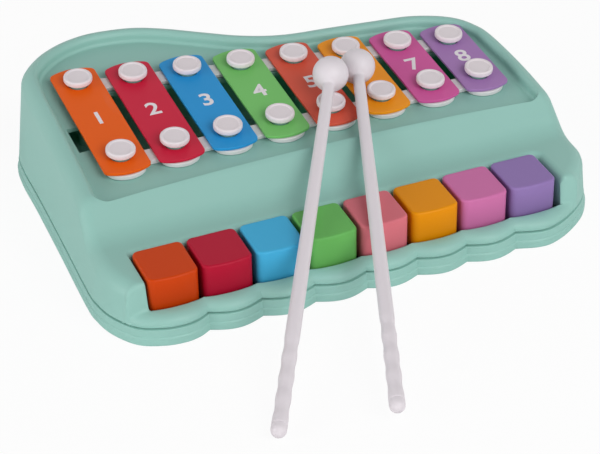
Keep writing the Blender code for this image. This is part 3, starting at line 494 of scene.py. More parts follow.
def topLine():    # the body's top along Y: lip, arms beside the keys, slope and tilted deck
    armFront = frontY + bodyShape["armFrontAt"]
    foot = frontY + bodyShape["slopeFootAt"]
    depth = bodyShape["depth"]
    corners = [Vector((2 * frontY, bodyShape["lip"])), Vector((armFront, bodyShape["lip"])),
               Vector((armFront + bodyShape["armRise"], bodyShape["armFront"])),
               Vector((foot, bodyShape["armBack"])), Vector((crestY, bodyShape["crest"])),
               Vector((crestY + depth, bodyShape["crest"] + depth * tan(bodyShape["tilt"])))]
    rise = (corners[2] - corners[1]).length
    slope = (corners[4] - corners[3]).length
    riseCuts, slopeCuts = bodyShape["riseCuts"], bodyShape["slopeCuts"]
    cuts = [rise * share for share in riseCuts] + [slope * share for share in slopeCuts]
    return roundedLine(corners, cuts, bodyShape["profileSteps"])


topProfile = topLine()


def topHeight(y):
    for first, second in zip(topProfile, topProfile[1:]):
        if y <= second.x:
            return first.lerp(second, (y - first.x) / (second.x - first.x)).y
    return topProfile[-1].y


def pocketFloor(y):    # the pocket's floor runs at an even depth under the tilted deck
    return bodyShape["crest"] + (y - crestY) * tan(bodyShape["tilt"]) - bodyShape["pocketDepth"]


def deckSeat(x, along, height):    # a place in the deck's own plane, from the front row of caps
    base = Vector((0, frontRowY, pocketFloor(frontRowY)))
    return (Matrix.Translation(base) @ Matrix.Rotation(bodyShape["tilt"], 4, "X")
            @ Matrix.Translation((x, along, height)))


def capPlaces():
    return [(barX(i), 0.0) for i in row] + [(barX(i), barSpan(i)) for i in row]


# Finishes

insideShade = makePaintedInsideGlow()
mintColour = tint(146, 192, 182)
whiteColour = tint(228, 219, 223)
keyColours = [tint(199, 64, 7), tint(175, 18, 49), tint(67, 170, 213), tint(104, 179, 92),
              tint(213, 113, 124), tint(225, 141, 3), tint(200, 111, 163), tint(142, 116, 173)]
barColours = [tint(236, 97, 20), tint(205, 36, 65), tint(44, 150, 214), tint(120, 194, 108),
              tint(218, 90, 69), tint(244, 153, 30), tint(209, 92, 158), tint(166, 124, 182)]

# the mint plastic glows dark green under the pocket's floor, a painted glow for light inside the
# case
mint = makeFinish("mintPlastic", mintColour, 0.42, paintedGlowColour=(0.0015, 0.070, 0.027, 1))
capWhite = makeFinish("capPlastic", whiteColour, 0.36)
stripWhite = makeFinish("stripPlastic", tint(220, 218, 219), 0.5)
malletWhite = makeFinish("malletPlastic", tint(222, 215, 220), 0.4)
hammerWhite = makeFinish("hammerPlastic", tint(150, 152, 148), 0.45)
numberWhite = makeFinish("numberInk", tint(232, 226, 230), 0.45, scuffs=0.3)
# the keys carry painted shade, darker towards their feet
keyFinishes = [makeFinish(f"keyPlastic{i + 1}", colour, 0.34, scuffs=0.12, shine=0.12,
                          paintedFootShade=(0.0145, 0.80, 0.0290, 1.03))
               for i, colour in enumerate(keyColours)]
barFinishes = [makeFinish(f"barPaint{i + 1}", colour, 0.36, shine=0.12, grain=900.0)
               for i, colour in enumerate(barColours)]
steel = makeFinish("turnedSteel", (0.55, 0.56, 0.58, 1), 0.3, metallic=1.0, grain=700.0)
felt = makeFinish("darkFelt", (0.09, 0.09, 0.10, 1), 0.95, grain=2600.0, grainDepth=0.0002,
                  scuffs=0.0, sheen=0.3)
print("finishes ready")


# Case

caseShape = {
    "stepIn": 0.0013,           # the case's wall stands this far inside the base's flange
    "lean": 0.042,              # the walls lean a little to the right as they rise
    "groove": 0.0012,           # the wall's foot tucks in by this much over the base
    "draft": 0.0034,            # of the tallest walls
    "fullWall": 0.0420,
    "edgeRound": 0.0076,
    "edgeShare": 0.76,
    "edgeSteps": 10,
    "wall": 0.0024,
    "rim": 0.0140,              # deck left between the outline and the pocket
    "pocketAside": 0.0022,
    "pocketFrontAt": 0.0645,
    "pocketBow": 0.0045,
    "pocketCorner": 0.0062,
    "rimRound": 0.0030,
    "floorRound": 0.0018,
    "roundSteps": 6,
    "postRadius": 0.0048,
    "postTop": 0.0068,
    "postSunk": 0.0012,
    "collarStep": 0.0009,
    "collarSunk": 0.0008,
    "collarInside": 0.0002,
    "skirtBottom": 0.0246,
    "sideBottom": 0.0108,
    "bossRadius": 0.0042,
    "bossFoot": 0.0123,
    "bossUnderPocket": 0.0100,  # how far the bosses end below the pocket's floor
    "bossUnderTop": 0.0044,
    "cavityFoot": -0.0040,
    "above": 0.3,               # higher than everything, for the shapes that cut upwards
}
bossShares = ((-0.924, 0.159), (0.888, 0.159), (-0.906, 0.580), (0.912, 0.505),
              (-0.640, 0.888), (0.216, 0.735))


def bossPlaces():
    return [Vector((x * bodyShape["width"] / 2, frontY + y * bodyShape["depth"]))
            for x, y in bossShares]


def domedBody(loop, bottom, firstInset, radius, lowered, steps):
    # Heights are kept as levels first: -1 at the wall's top and 0 on top of the body
    footLevel, grooveLevel, wallLevel = -2, -1.94, -1
    groove = caseShape["groove"]
    inward = [moved - point for point, moved in zip(loop, insetLoop(loop, 1.0))]
    drafts = [caseShape["draft"] * min(1, (topHeight(point.y) - bodyShape["seam"])
                                       / caseShape["fullWall"]) for point in loop]
    levels = [(firstInset + groove, 0, footLevel), (firstInset, 0, grooveLevel)]
    levels += [(firstInset + radius * (1 - c), 1, s - 1) for s, c in turnSteps(0, 90, steps)]
    bm = bmesh.new()
    rings = []
    for across, share, level in levels:
        ring = [point + step * (across + share * draft)
                for point, step, draft in zip(loop, inward, drafts)]
        rings.append((list(reversed(ring)), level))
    ringBody(bm, rings)
    for point in topProfile[1:-1]:
        whole = bm.verts[:] + bm.edges[:] + bm.faces[:]
        bmesh.ops.bisect_plane(bm, geom=whole, plane_co=(0, point.x, 0), plane_no=(0, 1, 0))
    for vert in bm.verts:
        high = topHeight(vert.co.y) - lowered
        roundHeight = min(radius, (high - bodyShape["seam"]) * caseShape["edgeShare"])
        here = vert.co.z
        if here >= wallLevel - 0.00001:
            vert.co.z = high + here * roundHeight
        elif here > grooveLevel - 0.01:
            share = (here - grooveLevel) / (wallLevel - grooveLevel)
            vert.co.z = bottom + groove + share * (high - roundHeight - bottom - groove)
        else:
            vert.co.z = bottom
        vert.co.x += caseShape["lean"] * (vert.co.z - bottom)
    bmesh.ops.remove_doubles(bm, verts=bm.verts[:], dist=0.000002)
    bmesh.ops.triangulate(bm, faces=bm.faces[:])
    return bm


def pocketOutline(grown, steps, lobeSteps):
    sides = insetLoop(bodyOutline(steps, lobeSteps), caseShape["rim"] - grown)
    front = frontY + caseShape["pocketFrontAt"] - grown
    corner = caseShape["pocketCorner"] + grown
    near = [point for point in sides if front < point.y < front + 4 * corner]
    left = min(point.x for point in near)
    right = max(point.x for point in near)
    kept = [point for point in sides if point.y > front + corner]
    start = max(range(len(kept)), key=lambda i: (kept[i] - kept[i - 1]).length)
    kept = kept[start:] + kept[:start]
    rightTurn = arcPoints((right - corner, front + corner), corner, 0, -90, 7)
    leftTurn = arcPoints((left + corner, front + corner), corner, -90, -180, 7)
    middle = [rightTurn[-1].lerp(leftTurn[0], i / 30) for i in range(1, 30)]
    bowed = rightTurn + middle + leftTurn
    for point in bowed:
        share = (point.x - left) / (right - left)
        point.y += caseShape["pocketBow"] * sin(pi * min(1, max(0, share)))
    return [point + Vector((caseShape["pocketAside"], 0)) for point in kept + bowed]


def pocketCutter():    # the same plan at each depth, wider at its rim and narrower at its floor
    depth, steps = bodyShape["pocketDepth"], caseShape["roundSteps"]
    rimRound, floorRound = caseShape["rimRound"], caseShape["floorRound"]
    rows = [(rimRound * 1.3, 0.03), (rimRound * 1.3, depth + 0.12 * rimRound)]
    rows += [(rimRound * (1 - s), depth - rimRound * (1 - c)) for s, c in turnSteps(10, 90, steps)]
    rows += [(-floorRound * (1 - c), floorRound * (1 - s)) for s, c in turnSteps(0, 90, steps)]
    bm = bmesh.new()
    lid = faceFrom(bm, reversed(pocketOutline(rows[0][0], 6, 4)), rows[0][1])
    floor = extrudeFace(bm, lid, (0, 0, rows[1][1] - rows[0][1]))
    bm.normal_update()
    for (grownBefore, highBefore), (grown, high) in zip(rows[1:], rows[2:]):
        if floor.normal.z < 0:
            floor.normal_flip()
        bmesh.ops.inset_region(bm, faces=[floor], thickness=grownBefore - grown,
                               depth=high - highBefore, use_even_offset=True, use_boundary=True)
    for vert in bm.verts:
        vert.co.z += pocketFloor(vert.co.y)
    return bm


def helperObject(name, bm):
    bmesh.ops.recalc_face_normals(bm, faces=bm.faces[:])
    if bm.calc_volume(signed=True) < 0:
        bmesh.ops.reverse_faces(bm, faces=bm.faces[:])
    helper = placeObject(name, meshFrom(name, bm))
    helper.hide_render = True
    return helper


def cutWith(target, tool, operation="DIFFERENCE"):
    modifier = target.modifiers.new(tool.name, "BOOLEAN")
    modifier.operation = operation
    modifier.object = tool
    modifier.solver = "EXACT"


def takeShape(target):    # a helper's shape after its cuts
    bpy.context.view_layer.update()
    graph = bpy.context.evaluated_depsgraph_get()
    bm = bmesh.new()
    bm.from_mesh(bpy.data.meshes.new_from_object(target.evaluated_get(graph)))
    return bm


wellShape = {
    "left": 0.0012,              # room beside the outer keys
    "right": 0.0034,
    "back": 0.0014,
    "front": 0.0007,
    "bulge": 0.0014,
    "cornerRound": 0.0026,
    "frontCorner": 0.0018,
    "endGap": 0.0008,
    "lobeSteps": 12,
    "leftRound": 0.0006,
    "rightRound": 0.0044,
    "backRound": 0.0040,
    "frontRound": 0.0009,
    "lipDrop": 0.0003,           # the lip's inner edge lies this far under its crown
    "rimTurn": 10,               # degrees off upright where the rounded rim leaves the wall
    "flare": 0.45,               # share of the rim's round by which the cut widens over it
}
keyShape = {
    "frontAt": 0.0084,
    "width": 0.0258,
    "depth": 0.0254,
    "frontHeight": 0.0314,
    "backHeight": 0.0329,
    "bottom": 0.0110,
    "bulge": 0.0014,
    "cornerRound": 0.0030,
    "topRound": 0.0013,
    "wall": 0.0022,
    "hollow": 0.0182,
}
keyFrontY = frontY + keyShape["frontAt"]


def wellPlan():    # clockwise from the left wall's front end
    half = keyShape["width"] / 2
    x0, x1 = keyX(0) - half - wellShape["left"], keyX(last) + half + wellShape["right"]
    notch = keyFrontY - wellShape["front"]
    y1 = keyFrontY + keyShape["depth"] + wellShape["back"]
    corner, turn = wellShape["cornerRound"], wellShape["frontCorner"]

    def frontLine(x):
        share = (x - keyX(0)) / bodyShape["keyPitch"] + 0.5
        share = min(len(row), max(0, share))
        return Vector((x, notch - wellShape["bulge"] * abs(sin(pi * share))))

    def frontTurn(x, inward):    # from the wall to the scalloped front
        start, end = Vector((x, notch + turn)), frontLine(x + inward * turn)
        return softCorner(start, Vector((x, end.y)), end, 8)

    wallLength = y1 - corner - notch - turn
    plan = [Vector((x0, notch + turn + wallLength * i / 30)) for i in range(1, 30)]
    plan += arcPoints((x0 + corner, y1 - corner), corner, 180, 90, 8)
    plan += [Vector((x0 + corner + (x1 - x0 - 2 * corner) * i / 40, y1)) for i in range(1, 40)]
    plan += arcPoints((x1 - corner, y1 - corner), corner, 90, 0, 8)
    plan += [Vector((x1, y1 - corner - wallLength * i / 30)) for i in range(1, 30)]
    plan += frontTurn(x1, -1)
    low, high = x0 + turn + wellShape["endGap"], x1 - turn - wellShape["endGap"]
    lobe = wellShape["lobeSteps"]
    plan += [frontLine(x) for x in
             [keyX(0) + (step / lobe - 0.5) * bodyShape["keyPitch"]
              for step in range(lobe * len(row), 0, -1)] if low < x < high]
    return plan + list(reversed(frontTurn(x0, 1)))


def wellCutter():
    plan = wellPlan()
    across = []
    for before, point, after in withNeighbours(plan):
        along = (after - before).normalized()
        out = Vector((-along.y, along.x))
        edge = wellShape["backRound"] if out.y > 0 else wellShape["frontRound"]
        side = wellShape["rightRound"] if out.x > 0 else wellShape["leftRound"]
        across.append((out, side * out.x**2 + edge * out.y**2))
    rimTurn, flare = wellShape["rimTurn"], wellShape["flare"]
    turns = [(1 - s, 1 - c) for s, c in turnSteps(90, rimTurn, caseShape["roundSteps"])]
    turns.append((turns[-1][0] + flare, turns[-1][1] - flare * tan(radians(rimTurn))))
    bm = bmesh.new()
    face = faceFrom(bm, plan, 0)
    number = numberVerts(bm, face)
    for level in range(len(turns) + 1):
        face = extrudeFace(bm, face, (0, 0, 1), dropOld=level > 0)
    for vert in bm.verts:
        level = round(vert.co.z)
        if level:
            out, down = turns[min(level, len(turns)) - 1]
            normal, radius = across[vert[number]]
            place = plan[vert[number]] + normal * radius * out
            high = topHeight(place.y) - wellShape["lipDrop"] * max(0, -normal.y)
            sky = 0.03 if level > len(turns) else 0
            vert.co = (place.x, place.y, high - radius * down + sky)
    bm.verts.layers.int.remove(number)
    return bm


slotShape = {
    "side": 0.0085,              # beyond the outer bars' middles
    "notchSide": 0.0171,
    "notch": (0.0155, 0.0372),   # along the first bar, from the front row of caps
    "front": 0.0058,
    "back": 0.0052,
    "depth": 0.0048,
}


def slotPlan():
    left, right = barX(0) - slotShape["side"], barX(last) + slotShape["side"]
    farLeft = barX(0) - slotShape["notchSide"]
    near, far = slotShape["notch"]
    front, back = slotShape["front"], slotShape["back"]
    backLeft = bodyShape["longSpan"] - back + rowLean * (left - barX(0))
    backRight = bodyShape["shortSpan"] - back + rowLean * (right - barX(last))
    return [(left, front), (right, front), (right, backRight), (left, backLeft), (left, far),
            (farLeft, far), (farLeft, near), (left, near)]


def boxBetween(bm, low, high):
    made = bmesh.ops.create_cube(bm, size=1)["verts"]
    bmesh.ops.scale(bm, verts=made, vec=Vector(high) - Vector(low))
    bmesh.ops.translate(bm, verts=made, vec=(Vector(low) + Vector(high)) / 2)


def makeCavity(wall):    # the space inside, less the walls of the pocket and of the key well
    above = caseShape["above"]
    cavity = helperObject("caseCavity", domedBody(
        bodyOutline(2, 4), caseShape["cavityFoot"], caseShape["stepIn"] + wall,
        caseShape["edgeRound"] - wall, wall, 3))
    keep = bmesh.new()
    extrudeFace(keep, faceFrom(keep, reversed(pocketOutline(wall, 2, 4)), 0), (0, 0, above))
    for vert in keep.verts:
        if vert.co.z < above / 2:
            vert.co.z = pocketFloor(vert.co.y) - wall
    cutWith(cavity, helperObject("pocketWall", keep))
    xs, ys = zip(*((point.x, point.y) for point in wellPlan()))
    low = Vector((min(xs) - wall / 2, min(ys) - wall / 2, caseShape["skirtBottom"]))
    high = Vector((max(xs) + wall / 2, max(ys) + wall / 2, above))
    skirt, sides = bmesh.new(), bmesh.new()
    boxBetween(skirt, low, high)
    cutWith(cavity, helperObject("wellSkirt", skirt))
    sideBottom = caseShape["sideBottom"]
    boxBetween(sides, (low.x, low.y, sideBottom), (low.x + wall, high.y, above))
    boxBetween(sides, (high.x - wall, low.y, sideBottom), (high.x, high.y, above))
    cutWith(cavity, helperObject("wellSides", sides))
    return cavity


def casePosts():    # posts under the caps, and bosses for the screws from below
    posts = bmesh.new()
    radius, collar = caseShape["postRadius"], caseShape["collarStep"]
    for place in capPlaces():
        addRound(posts, radius, -caseShape["postSunk"], caseShape["postTop"], place)
        addRound(posts, radius + collar, -caseShape["collarSunk"], collar, place,
                 narrow=radius - caseShape["collarInside"])
    moveAll(posts, deckSeat(0, 0, 0))
    for place in bossPlaces():
        if place.y > frontY + caseShape["pocketFrontAt"]:
            end = pocketFloor(place.y) - caseShape["bossUnderPocket"]
        else:
            end = topHeight(place.y) - caseShape["bossUnderTop"]
        addRound(posts, caseShape["bossRadius"], caseShape["bossFoot"], end, place, 20)
    bmesh.ops.recalc_face_normals(posts, faces=posts.faces[:])
    return meshFrom("casePosts", posts)


def makeCase():
    loop = bodyOutline(bodyShape["curveSteps"], bodyShape["lobeSteps"])
    case = helperObject("caseBlank", domedBody(loop, bodyShape["seam"], caseShape["stepIn"],
                                               caseShape["edgeRound"], 0, caseShape["edgeSteps"]))
    cutWith(case, makeCavity(caseShape["wall"]))
    cutWith(case, helperObject("pocketSpace", pocketCutter()))
    cutWith(case, helperObject("keyWell", wellCutter()))
    slot, depth = bmesh.new(), slotShape["depth"]
    extrudeFace(slot, faceFrom(slot, slotPlan(), -depth), (0, 0, 2 * depth))
    moveAll(slot, deckSeat(0, 0, 0))
    cutWith(case, helperObject("hammerSlot", slot))
    bm = takeShape(case)
    bm.from_mesh(casePosts())
    finishPiece("pianoCase", bm, mint, "body", ["top_housing"], 33)


makeCase()
print("case ready")


# Base

baseShape = {
    "height": 0.0089,
    "stepHeight": 0.0046,
    "stepIn": 0.0007,
    "stepTop": 0.0009,
    "stepSlope": (0.25, 0.4),              # shares of the step's depth
    "footRound": 0.0009,
    "edgeRound": 0.0005,
    "floor": 0.0024,
    "rebate": (0.0004, 0.0006, 0.0016),    # outwards, inwards and up
    "keyShaft": (-0.0547, 0.0170),         # y and z
    "hammerShaft": (-0.0397, 0.0260),
    "ribX": (-0.1162, -0.00097, 0.11892),
    "ribHalf": 0.001,
    "collar": 0.0042,
    "keyStop": (-0.0267, -0.0247, 0.0142),         # front, back and top of each felt's wall
    "hammerRest": (-0.0087, -0.0067, 0.0200),
    "hammerRestEnd": 0.006,
    "bossRadius": 0.0042,
    "bossTop": 0.0120,
    "recess": (0.0031, 0.0060),            # radius and depth under each screw
}


def sideProfile(bm, outline, x0, x1):    # a plate that stands across X, from its outline in (y, z)
    face = bm.faces.new([bm.verts.new((x0, y, z)) for y, z in outline])
    extrudeFace(bm, face, (x1 - x0, 0, 0))


def makeBase():
    foot, step, edge = baseShape["footRound"], baseShape["stepIn"], baseShape["edgeRound"]
    middle, high = baseShape["stepHeight"], baseShape["height"]
    turns = turnSteps(0, 90, 4)
    rings = [(foot * (1 - s), foot * (1 - c)) for s, c in turns]
    across, down = baseShape["stepSlope"]
    rings += [(0, middle - step), (step * across, middle - step * down), (step, middle + 0.0002)]
    rings += [(baseShape["stepTop"] + edge * (1 - c), high - edge * (1 - s)) for s, c in turns]
    inner = step + baseShape["floor"]
    outwards, inwards, up = baseShape["rebate"]
    rings += [(inner - outwards, high), (inner - outwards, high + up), (inner + inwards, high + up),
              (inner + inwards + 0.0001, baseShape["floor"])]
    bm = bmesh.new()
    loop = bodyOutline(bodyShape["curveSteps"], bodyShape["lobeSteps"])
    ringBody(bm, [(list(reversed(insetLoop(loop, across))), z) for across, z in rings])
    bmesh.ops.triangulate(bm, faces=bm.faces[:])
    base = helperObject("baseBlank", bm)
    bosses, recesses = bmesh.new(), bmesh.new()
    sunk = baseShape["floor"] / 2
    for place in bossPlaces():
        addRound(bosses, baseShape["bossRadius"], sunk, baseShape["bossTop"], place, 24)
        addRound(recesses, baseShape["recess"][0], -0.004, baseShape["recess"][1], place, 24)
    cutWith(base, helperObject("baseBosses", bosses), "UNION")
    cutWith(base, helperObject("screwRecesses", recesses))
    bm = takeShape(base)
    keyAt, hammerAt, collar = baseShape["keyShaft"], baseShape["hammerShaft"], baseShape["collar"]
    outline = [(keyAt[0] - collar, sunk), *arcPoints(keyAt, collar, 180, 90, 6),
               *arcPoints(hammerAt, collar, 180, 0, 12), (hammerAt[0] + collar, sunk)]
    for x in baseShape["ribX"]:
        sideProfile(bm, outline, x - baseShape["ribHalf"], x + baseShape["ribHalf"])
    front, back, top = baseShape["keyStop"]
    boxBetween(bm, (baseShape["ribX"][0], front, sunk), (baseShape["ribX"][-1], back, top))
    front, back, top = baseShape["hammerRest"]
    end = baseShape["hammerRestEnd"]
    boxBetween(bm, (barX(0) - end, front, sunk), (barX(last) + end, back, top))
    finishPiece("pianoBase", bm, mint, "body", ["base_tray"], 33)


makeBase()
print("base ready")


# Bars

barShape = {
    "width": 0.0250,
    "thickness": 0.0016,
    "frontCorner": 0.0117,
    "backCorner": 0.0112,
    "bulge": 0.0033,
    "cornerRound": 0.0021,
    "edge": 0.0003,
    "hole": 0.0058,
    "bottom": 0.0031,
}


def curveShape(curve):    # what a flat curve or type fills
    shape = bpy.data.objects.new("shape", curve)
    bm = bmesh.new()
    bm.from_mesh(bpy.data.meshes.new_from_object(shape))
    bpy.data.objects.remove(shape)
    return bm


def flatPlate(loops, thickness, edge, seat):    # a plate with rounded rims, its outline first
    curve = bpy.data.curves.new("plate", "CURVE")
    curve.dimensions = "2D"
    curve.fill_mode = "BOTH"
    curve.extrude = thickness / 2 - edge
    curve.bevel_depth = edge
    curve.bevel_resolution = 2
    curve.offset = -edge
    for loop in loops:
        spline = curve.splines.new("POLY")
        spline.points.add(len(loop) - 1)
        for point, place in zip(spline.points, loop):
            point.co = (place[0], place[1], 0, 1)
        spline.use_cyclic_u = True
    bm = curveShape(curve)
    bmesh.ops.remove_doubles(bm, verts=bm.verts[:], dist=0.000002)
    moveAll(bm, seat)
    return bm


def barEnd(corner, facing, base):    # from one side to the other, with its corners rounded
    half, bulge, cut = barShape["width"] / 2, barShape["bulge"], barShape["cornerRound"]
    radius = (half**2 + bulge**2) / (2 * bulge)
    centre = corner + bulge - radius
    xs = [(half - cut) * (1 - i / 9) for i in range(19)]
    arc = [Vector((x, centre + (radius**2 - x**2) ** 0.5)) for x in xs]
    found = []
    for start, tip, end in ((Vector((half, corner - cut)), Vector((half, corner)), arc[0]),
                            (arc[-1], Vector((-half, corner)), Vector((-half, corner - cut)))):
        turned = softCorner(start, tip, end, 5)
        found += turned + arc[1:] if end.x > 0 else turned[1:]
    return [Vector((facing * p.x, base + facing * p.y)) for p in found]


def makeBars():
    for i in row:
        span = barSpan(i)
        plan = barEnd(barShape["backCorner"], 1, span) + barEnd(barShape["frontCorner"], -1, 0)
        holes = [arcPoints((0, along), barShape["hole"], 360, 0, 32)[:-1] for along in (0, span)]
        seat = deckSeat(barX(i), 0, barShape["bottom"] + barShape["thickness"] / 2)
        bm = flatPlate([plan, *holes], barShape["thickness"], barShape["edge"], seat)
        finishPiece(f"soundBar{i + 1}", bm, barFinishes[i], "body",
                    [f"bar_{i + 1}"], 40)


makeBars()
print("bars ready")


# Strips under the bars' ends

stripShape = {
    "thickness": 0.0025,
    "bottom": 0.0003,
    "edge": 0.0005,
    "front": (0.0078, 0.0159, 0.0026),       # reach of necks, lobes and inner necks
    "back": (0.0054, 0.0136, 0.0044),
    "inner": 0.0064,
    "hole": 0.0051,
    "lobeShare": 0.36,
    "lobeSteps": 20,
}


def makeStrips():
    for side, facing in (("front", -1), ("back", 1)):
        neck, lobe, innerNeck = stripShape[side]

        def rowAt(x):
            return 0.0 if facing < 0 else bodyShape["longSpan"] + rowLean * (x - barX(0))

        outer, inner = [], []
        for i in row:
            for step in range(stripShape["lobeSteps"] + 1):
                share = cos(pi * (1 - step / stripShape["lobeSteps"]))
                x = barX(i) + share * stripShape["lobeShare"] * bodyShape["barPitch"]
                swell = max(0, 1 - share**2) ** 0.5
                outer.append((x, rowAt(x) + facing * (neck + (lobe - neck) * swell)))
                reach = innerNeck + (stripShape["inner"] - innerNeck) * swell**0.5
                inner.append((x, rowAt(x) - facing * reach))
        places = [(barX(i), rowAt(barX(i))) for i in row]
        loops = [outer + inner[::-1]]
        loops += [arcPoints(place, stripShape["hole"], 0, 360, 32)[:-1] for place in places]
        seat = deckSeat(0, 0, stripShape["bottom"] + stripShape["thickness"] / 2)
        bm = flatPlate(loops, stripShape["thickness"], stripShape["edge"], seat)
        finishPiece(f"{side}Strip", bm, stripWhite, "body",
                    [f"cushion_strip_{side}"], 40)


makeStrips()
print("strips ready")


# Caps

capShape = {
    "bottom": 0.0066,
    # mm, from the top's middle round to the spigot
    "profile": ((0.0, 2.72), (5.25, 2.72), (5.5, 2.74), (5.7, 2.82), (5.9, 3.02), (6.1, 3.16),
                (6.4, 3.22), (6.8, 3.22), (7.1, 3.14), (7.35, 2.96), (7.55, 2.68), (7.66, 2.3),
                (7.7, 1.8), (7.7, 0.9), (7.62, 0.5), (7.42, 0.2), (7.1, 0.04), (6.7, 0.0),
                (2.2, 0.0), (2.2, -5.0), (0.0, -5.0)),
    "steps": 48,
}


def spinProfile(profile, steps):    # a profile in (radius, height) turned round Z
    bm = bmesh.new()
    verts = [bm.verts.new((radius, 0, height)) for radius, height in profile]
    edges = [bm.edges.new(pair) for pair in zip(verts, verts[1:])]
    bmesh.ops.spin(bm, geom=verts + edges, cent=(0, 0, 0), axis=(0, 0, 1), angle=2 * pi,
                   steps=steps, use_merge=True)
    bmesh.ops.remove_doubles(bm, verts=bm.verts[:], dist=0.000002)
    return bm


def makeCaps():
    profile = [(r / 1000, z / 1000) for r, z in capShape["profile"]]
    for number, (x, along) in enumerate(capPlaces()):
        side, i = "front" if number <= last else "back", number % len(row)
        bm = spinProfile(profile, capShape["steps"])
        seat = deckSeat(x, along, capShape["bottom"])
        moveAll(bm, seat)
        finishPiece(f"{side}Cap{i + 1}", bm, capWhite, "body",
                    [f"cap_{side}_{i + 1}"], 50)


makeCaps()
print("caps ready")


# Piano keys

leverShape = {
    "width": 0.0080,
    "thickness": 0.0050,
    "intoBlock": 0.0032,
    "hub": 0.0036,
    "tailStart": 0.0225,
    "tailEnd": 0.0310,
    "tailMargin": 0.0015,
    "tailOverlap": 0.0002,
    "hammerWidth": 0.0060,
}


def keyBlock(x):    # a hollow block with a bulged front and rounded rims
    half, depth = keyShape["width"] / 2, keyShape["depth"]
    back, frontHeight = keyFrontY + depth, keyShape["frontHeight"]
    plan = [(x - half, back), (x - half, keyFrontY)]
    plan += [(x - half + 2 * half * step / 8, keyFrontY - keyShape["bulge"] * sin(pi * step / 8))
             for step in range(1, 8)]
    plan += [(x + half, keyFrontY), (x + half, back)]
    bm = bmesh.new()
    foot = faceFrom(bm, plan, keyShape["bottom"])
    corners = [vert for vert in foot.verts if abs(abs(vert.co.x - x) - half) < 0.00001]
    bmesh.ops.bevel(bm, geom=corners, offset=keyShape["cornerRound"], segments=6, profile=0.5,
                    affect="VERTICES", material=-1)
    top = extrudeFace(bm, bm.faces[:][0], (0, 0, 0.02))
    for vert in top.verts:
        share = (vert.co.y - keyFrontY) / depth
        vert.co.z = frontHeight + share * (keyShape["backHeight"] - frontHeight)
    bmesh.ops.bevel(bm, geom=top.edges[:], offset=keyShape["topRound"], segments=5,
                    profile=0.5, affect="EDGES", material=-1)
    bm.normal_update()
    foot = min(bm.faces, key=lambda face: face.calc_center_median().z)
    if foot.normal.z > 0:
        foot.normal_flip()
    bmesh.ops.inset_region(bm, faces=[foot], thickness=keyShape["wall"], depth=0,
                           use_even_offset=True, use_boundary=True)
    extrudeFace(bm, foot, (0, 0, keyShape["hollow"]), dropOld=True)
    return bm


def addLever(bm, x):    # from the block back over the shaft, with a tail that reaches its hammer
    shaftY, shaftZ = baseShape["keyShaft"]
    thick, hub = leverShape["thickness"] / 2, leverShape["hub"]
    touch = degrees(asin(thick / hub))
    front = keyFrontY + keyShape["depth"] - leverShape["intoBlock"]
    tail = shaftY + leverShape["tailEnd"]
    outline = [(front, shaftZ - thick),
               *arcPoints((shaftY, shaftZ), hub, 180 + touch, 360 - touch, 10),
               (tail, shaftZ - thick), (tail, shaftZ + thick),
               *arcPoints((shaftY, shaftZ), hub, touch, 180 - touch, 10), (front, shaftZ + thick)]
    wide = leverShape["width"] / 2
    sideProfile(bm, outline, x - wide, x + wide)
    reach = barX(last) - keyX(last) + leverShape["hammerWidth"] / 2 + leverShape["tailMargin"]
    boxBetween(bm, (x + wide - leverShape["tailOverlap"], shaftY + leverShape["tailStart"],
                    shaftZ - thick), (x + reach, tail, shaftZ + thick))


def makeKeys():
    for i in row:
        bm = keyBlock(keyX(i))
        addLever(bm, keyX(i))
        finishPiece(f"pianoKey{i + 1}", bm, keyFinishes[i], f"key_{i + 1}",
                    [f"piano_key_{i + 1}"], 40)


makeKeys()
print("keys ready")


# Mallets

malletShape = {
    "ball": 0.0096,
    "length": 0.2370,
    "neck": 0.00304,
    "end": 0.0038,
    "waists": 4,
    "waistDepth": 0.0004,
    "waistSpacing": 0.0120,
    "waistStep": 0.0010,
    "endLength": 0.0150,
    "ringAt": 0.0062,            # a faint parting line, this far from the end
    "ringDepth": 0.00018,
    "steps": 40,
    "gap": 0.0003,
    "capRise": 0.0041,           # a ball that lies on a cap's rim sits higher
    "keyEdge": 0.0024,
    "left": (4, 0.0036, 0.0074, 30.3, True),      # bar, across, behind the row, turn, on a cap
    "right": (5, -0.0067, 0.0148, 20.45, False),
}


def stickRadius(down):    # the stick grows to its end, and the grip dips at each waist
    length = malletShape["length"]
    plain = malletShape["neck"] + (malletShape["end"] - malletShape["neck"]) * down / length
    waist = (length - down - malletShape["endLength"]) / malletShape["waistSpacing"]
    if -0.5 < waist < malletShape["waists"] - 0.5:
        return plain - malletShape["waistDepth"] * cos(pi * (waist - round(waist))) ** 2
    return plain


def malletProfile():
    ball, neck, length, end = (malletShape[key] for key in ("ball", "neck", "length", "end"))
    neckTurn = degrees(asin(neck * 1.25 / ball))
    points = [(ball * s, ball * c) for s, c in turnSteps(0, 180 - neckTurn, 22)]
    low = -ball * cos(radians(neckTurn))
    points += [(neck * 1.12, low - 0.0005), (neck * 1.03, low - 0.0012)]
    plainEnd = length - malletShape["endLength"] - malletShape["waistSpacing"] * (
        malletShape["waists"] - 0.5)
    points += [(stickRadius(down), -down) for down in (0.03, 0.09, 0.14, plainEnd - 0.001)]
    step = malletShape["waistStep"]
    points += [(stickRadius(plainEnd + step * i), -plainEnd - step * i)
               for i in range(int((length - end - plainEnd) / step))]
    ring = length - malletShape["ringAt"]
    points = [p for p in points if -p[1] < ring - 0.0004]
    points += [(end, -ring + 0.0002), (end - malletShape["ringDepth"], -ring),
               (end, -ring - 0.0002)]
    return points + [(end * c, end - length - end * s) for s, c in turnSteps(0, 90, 6)]


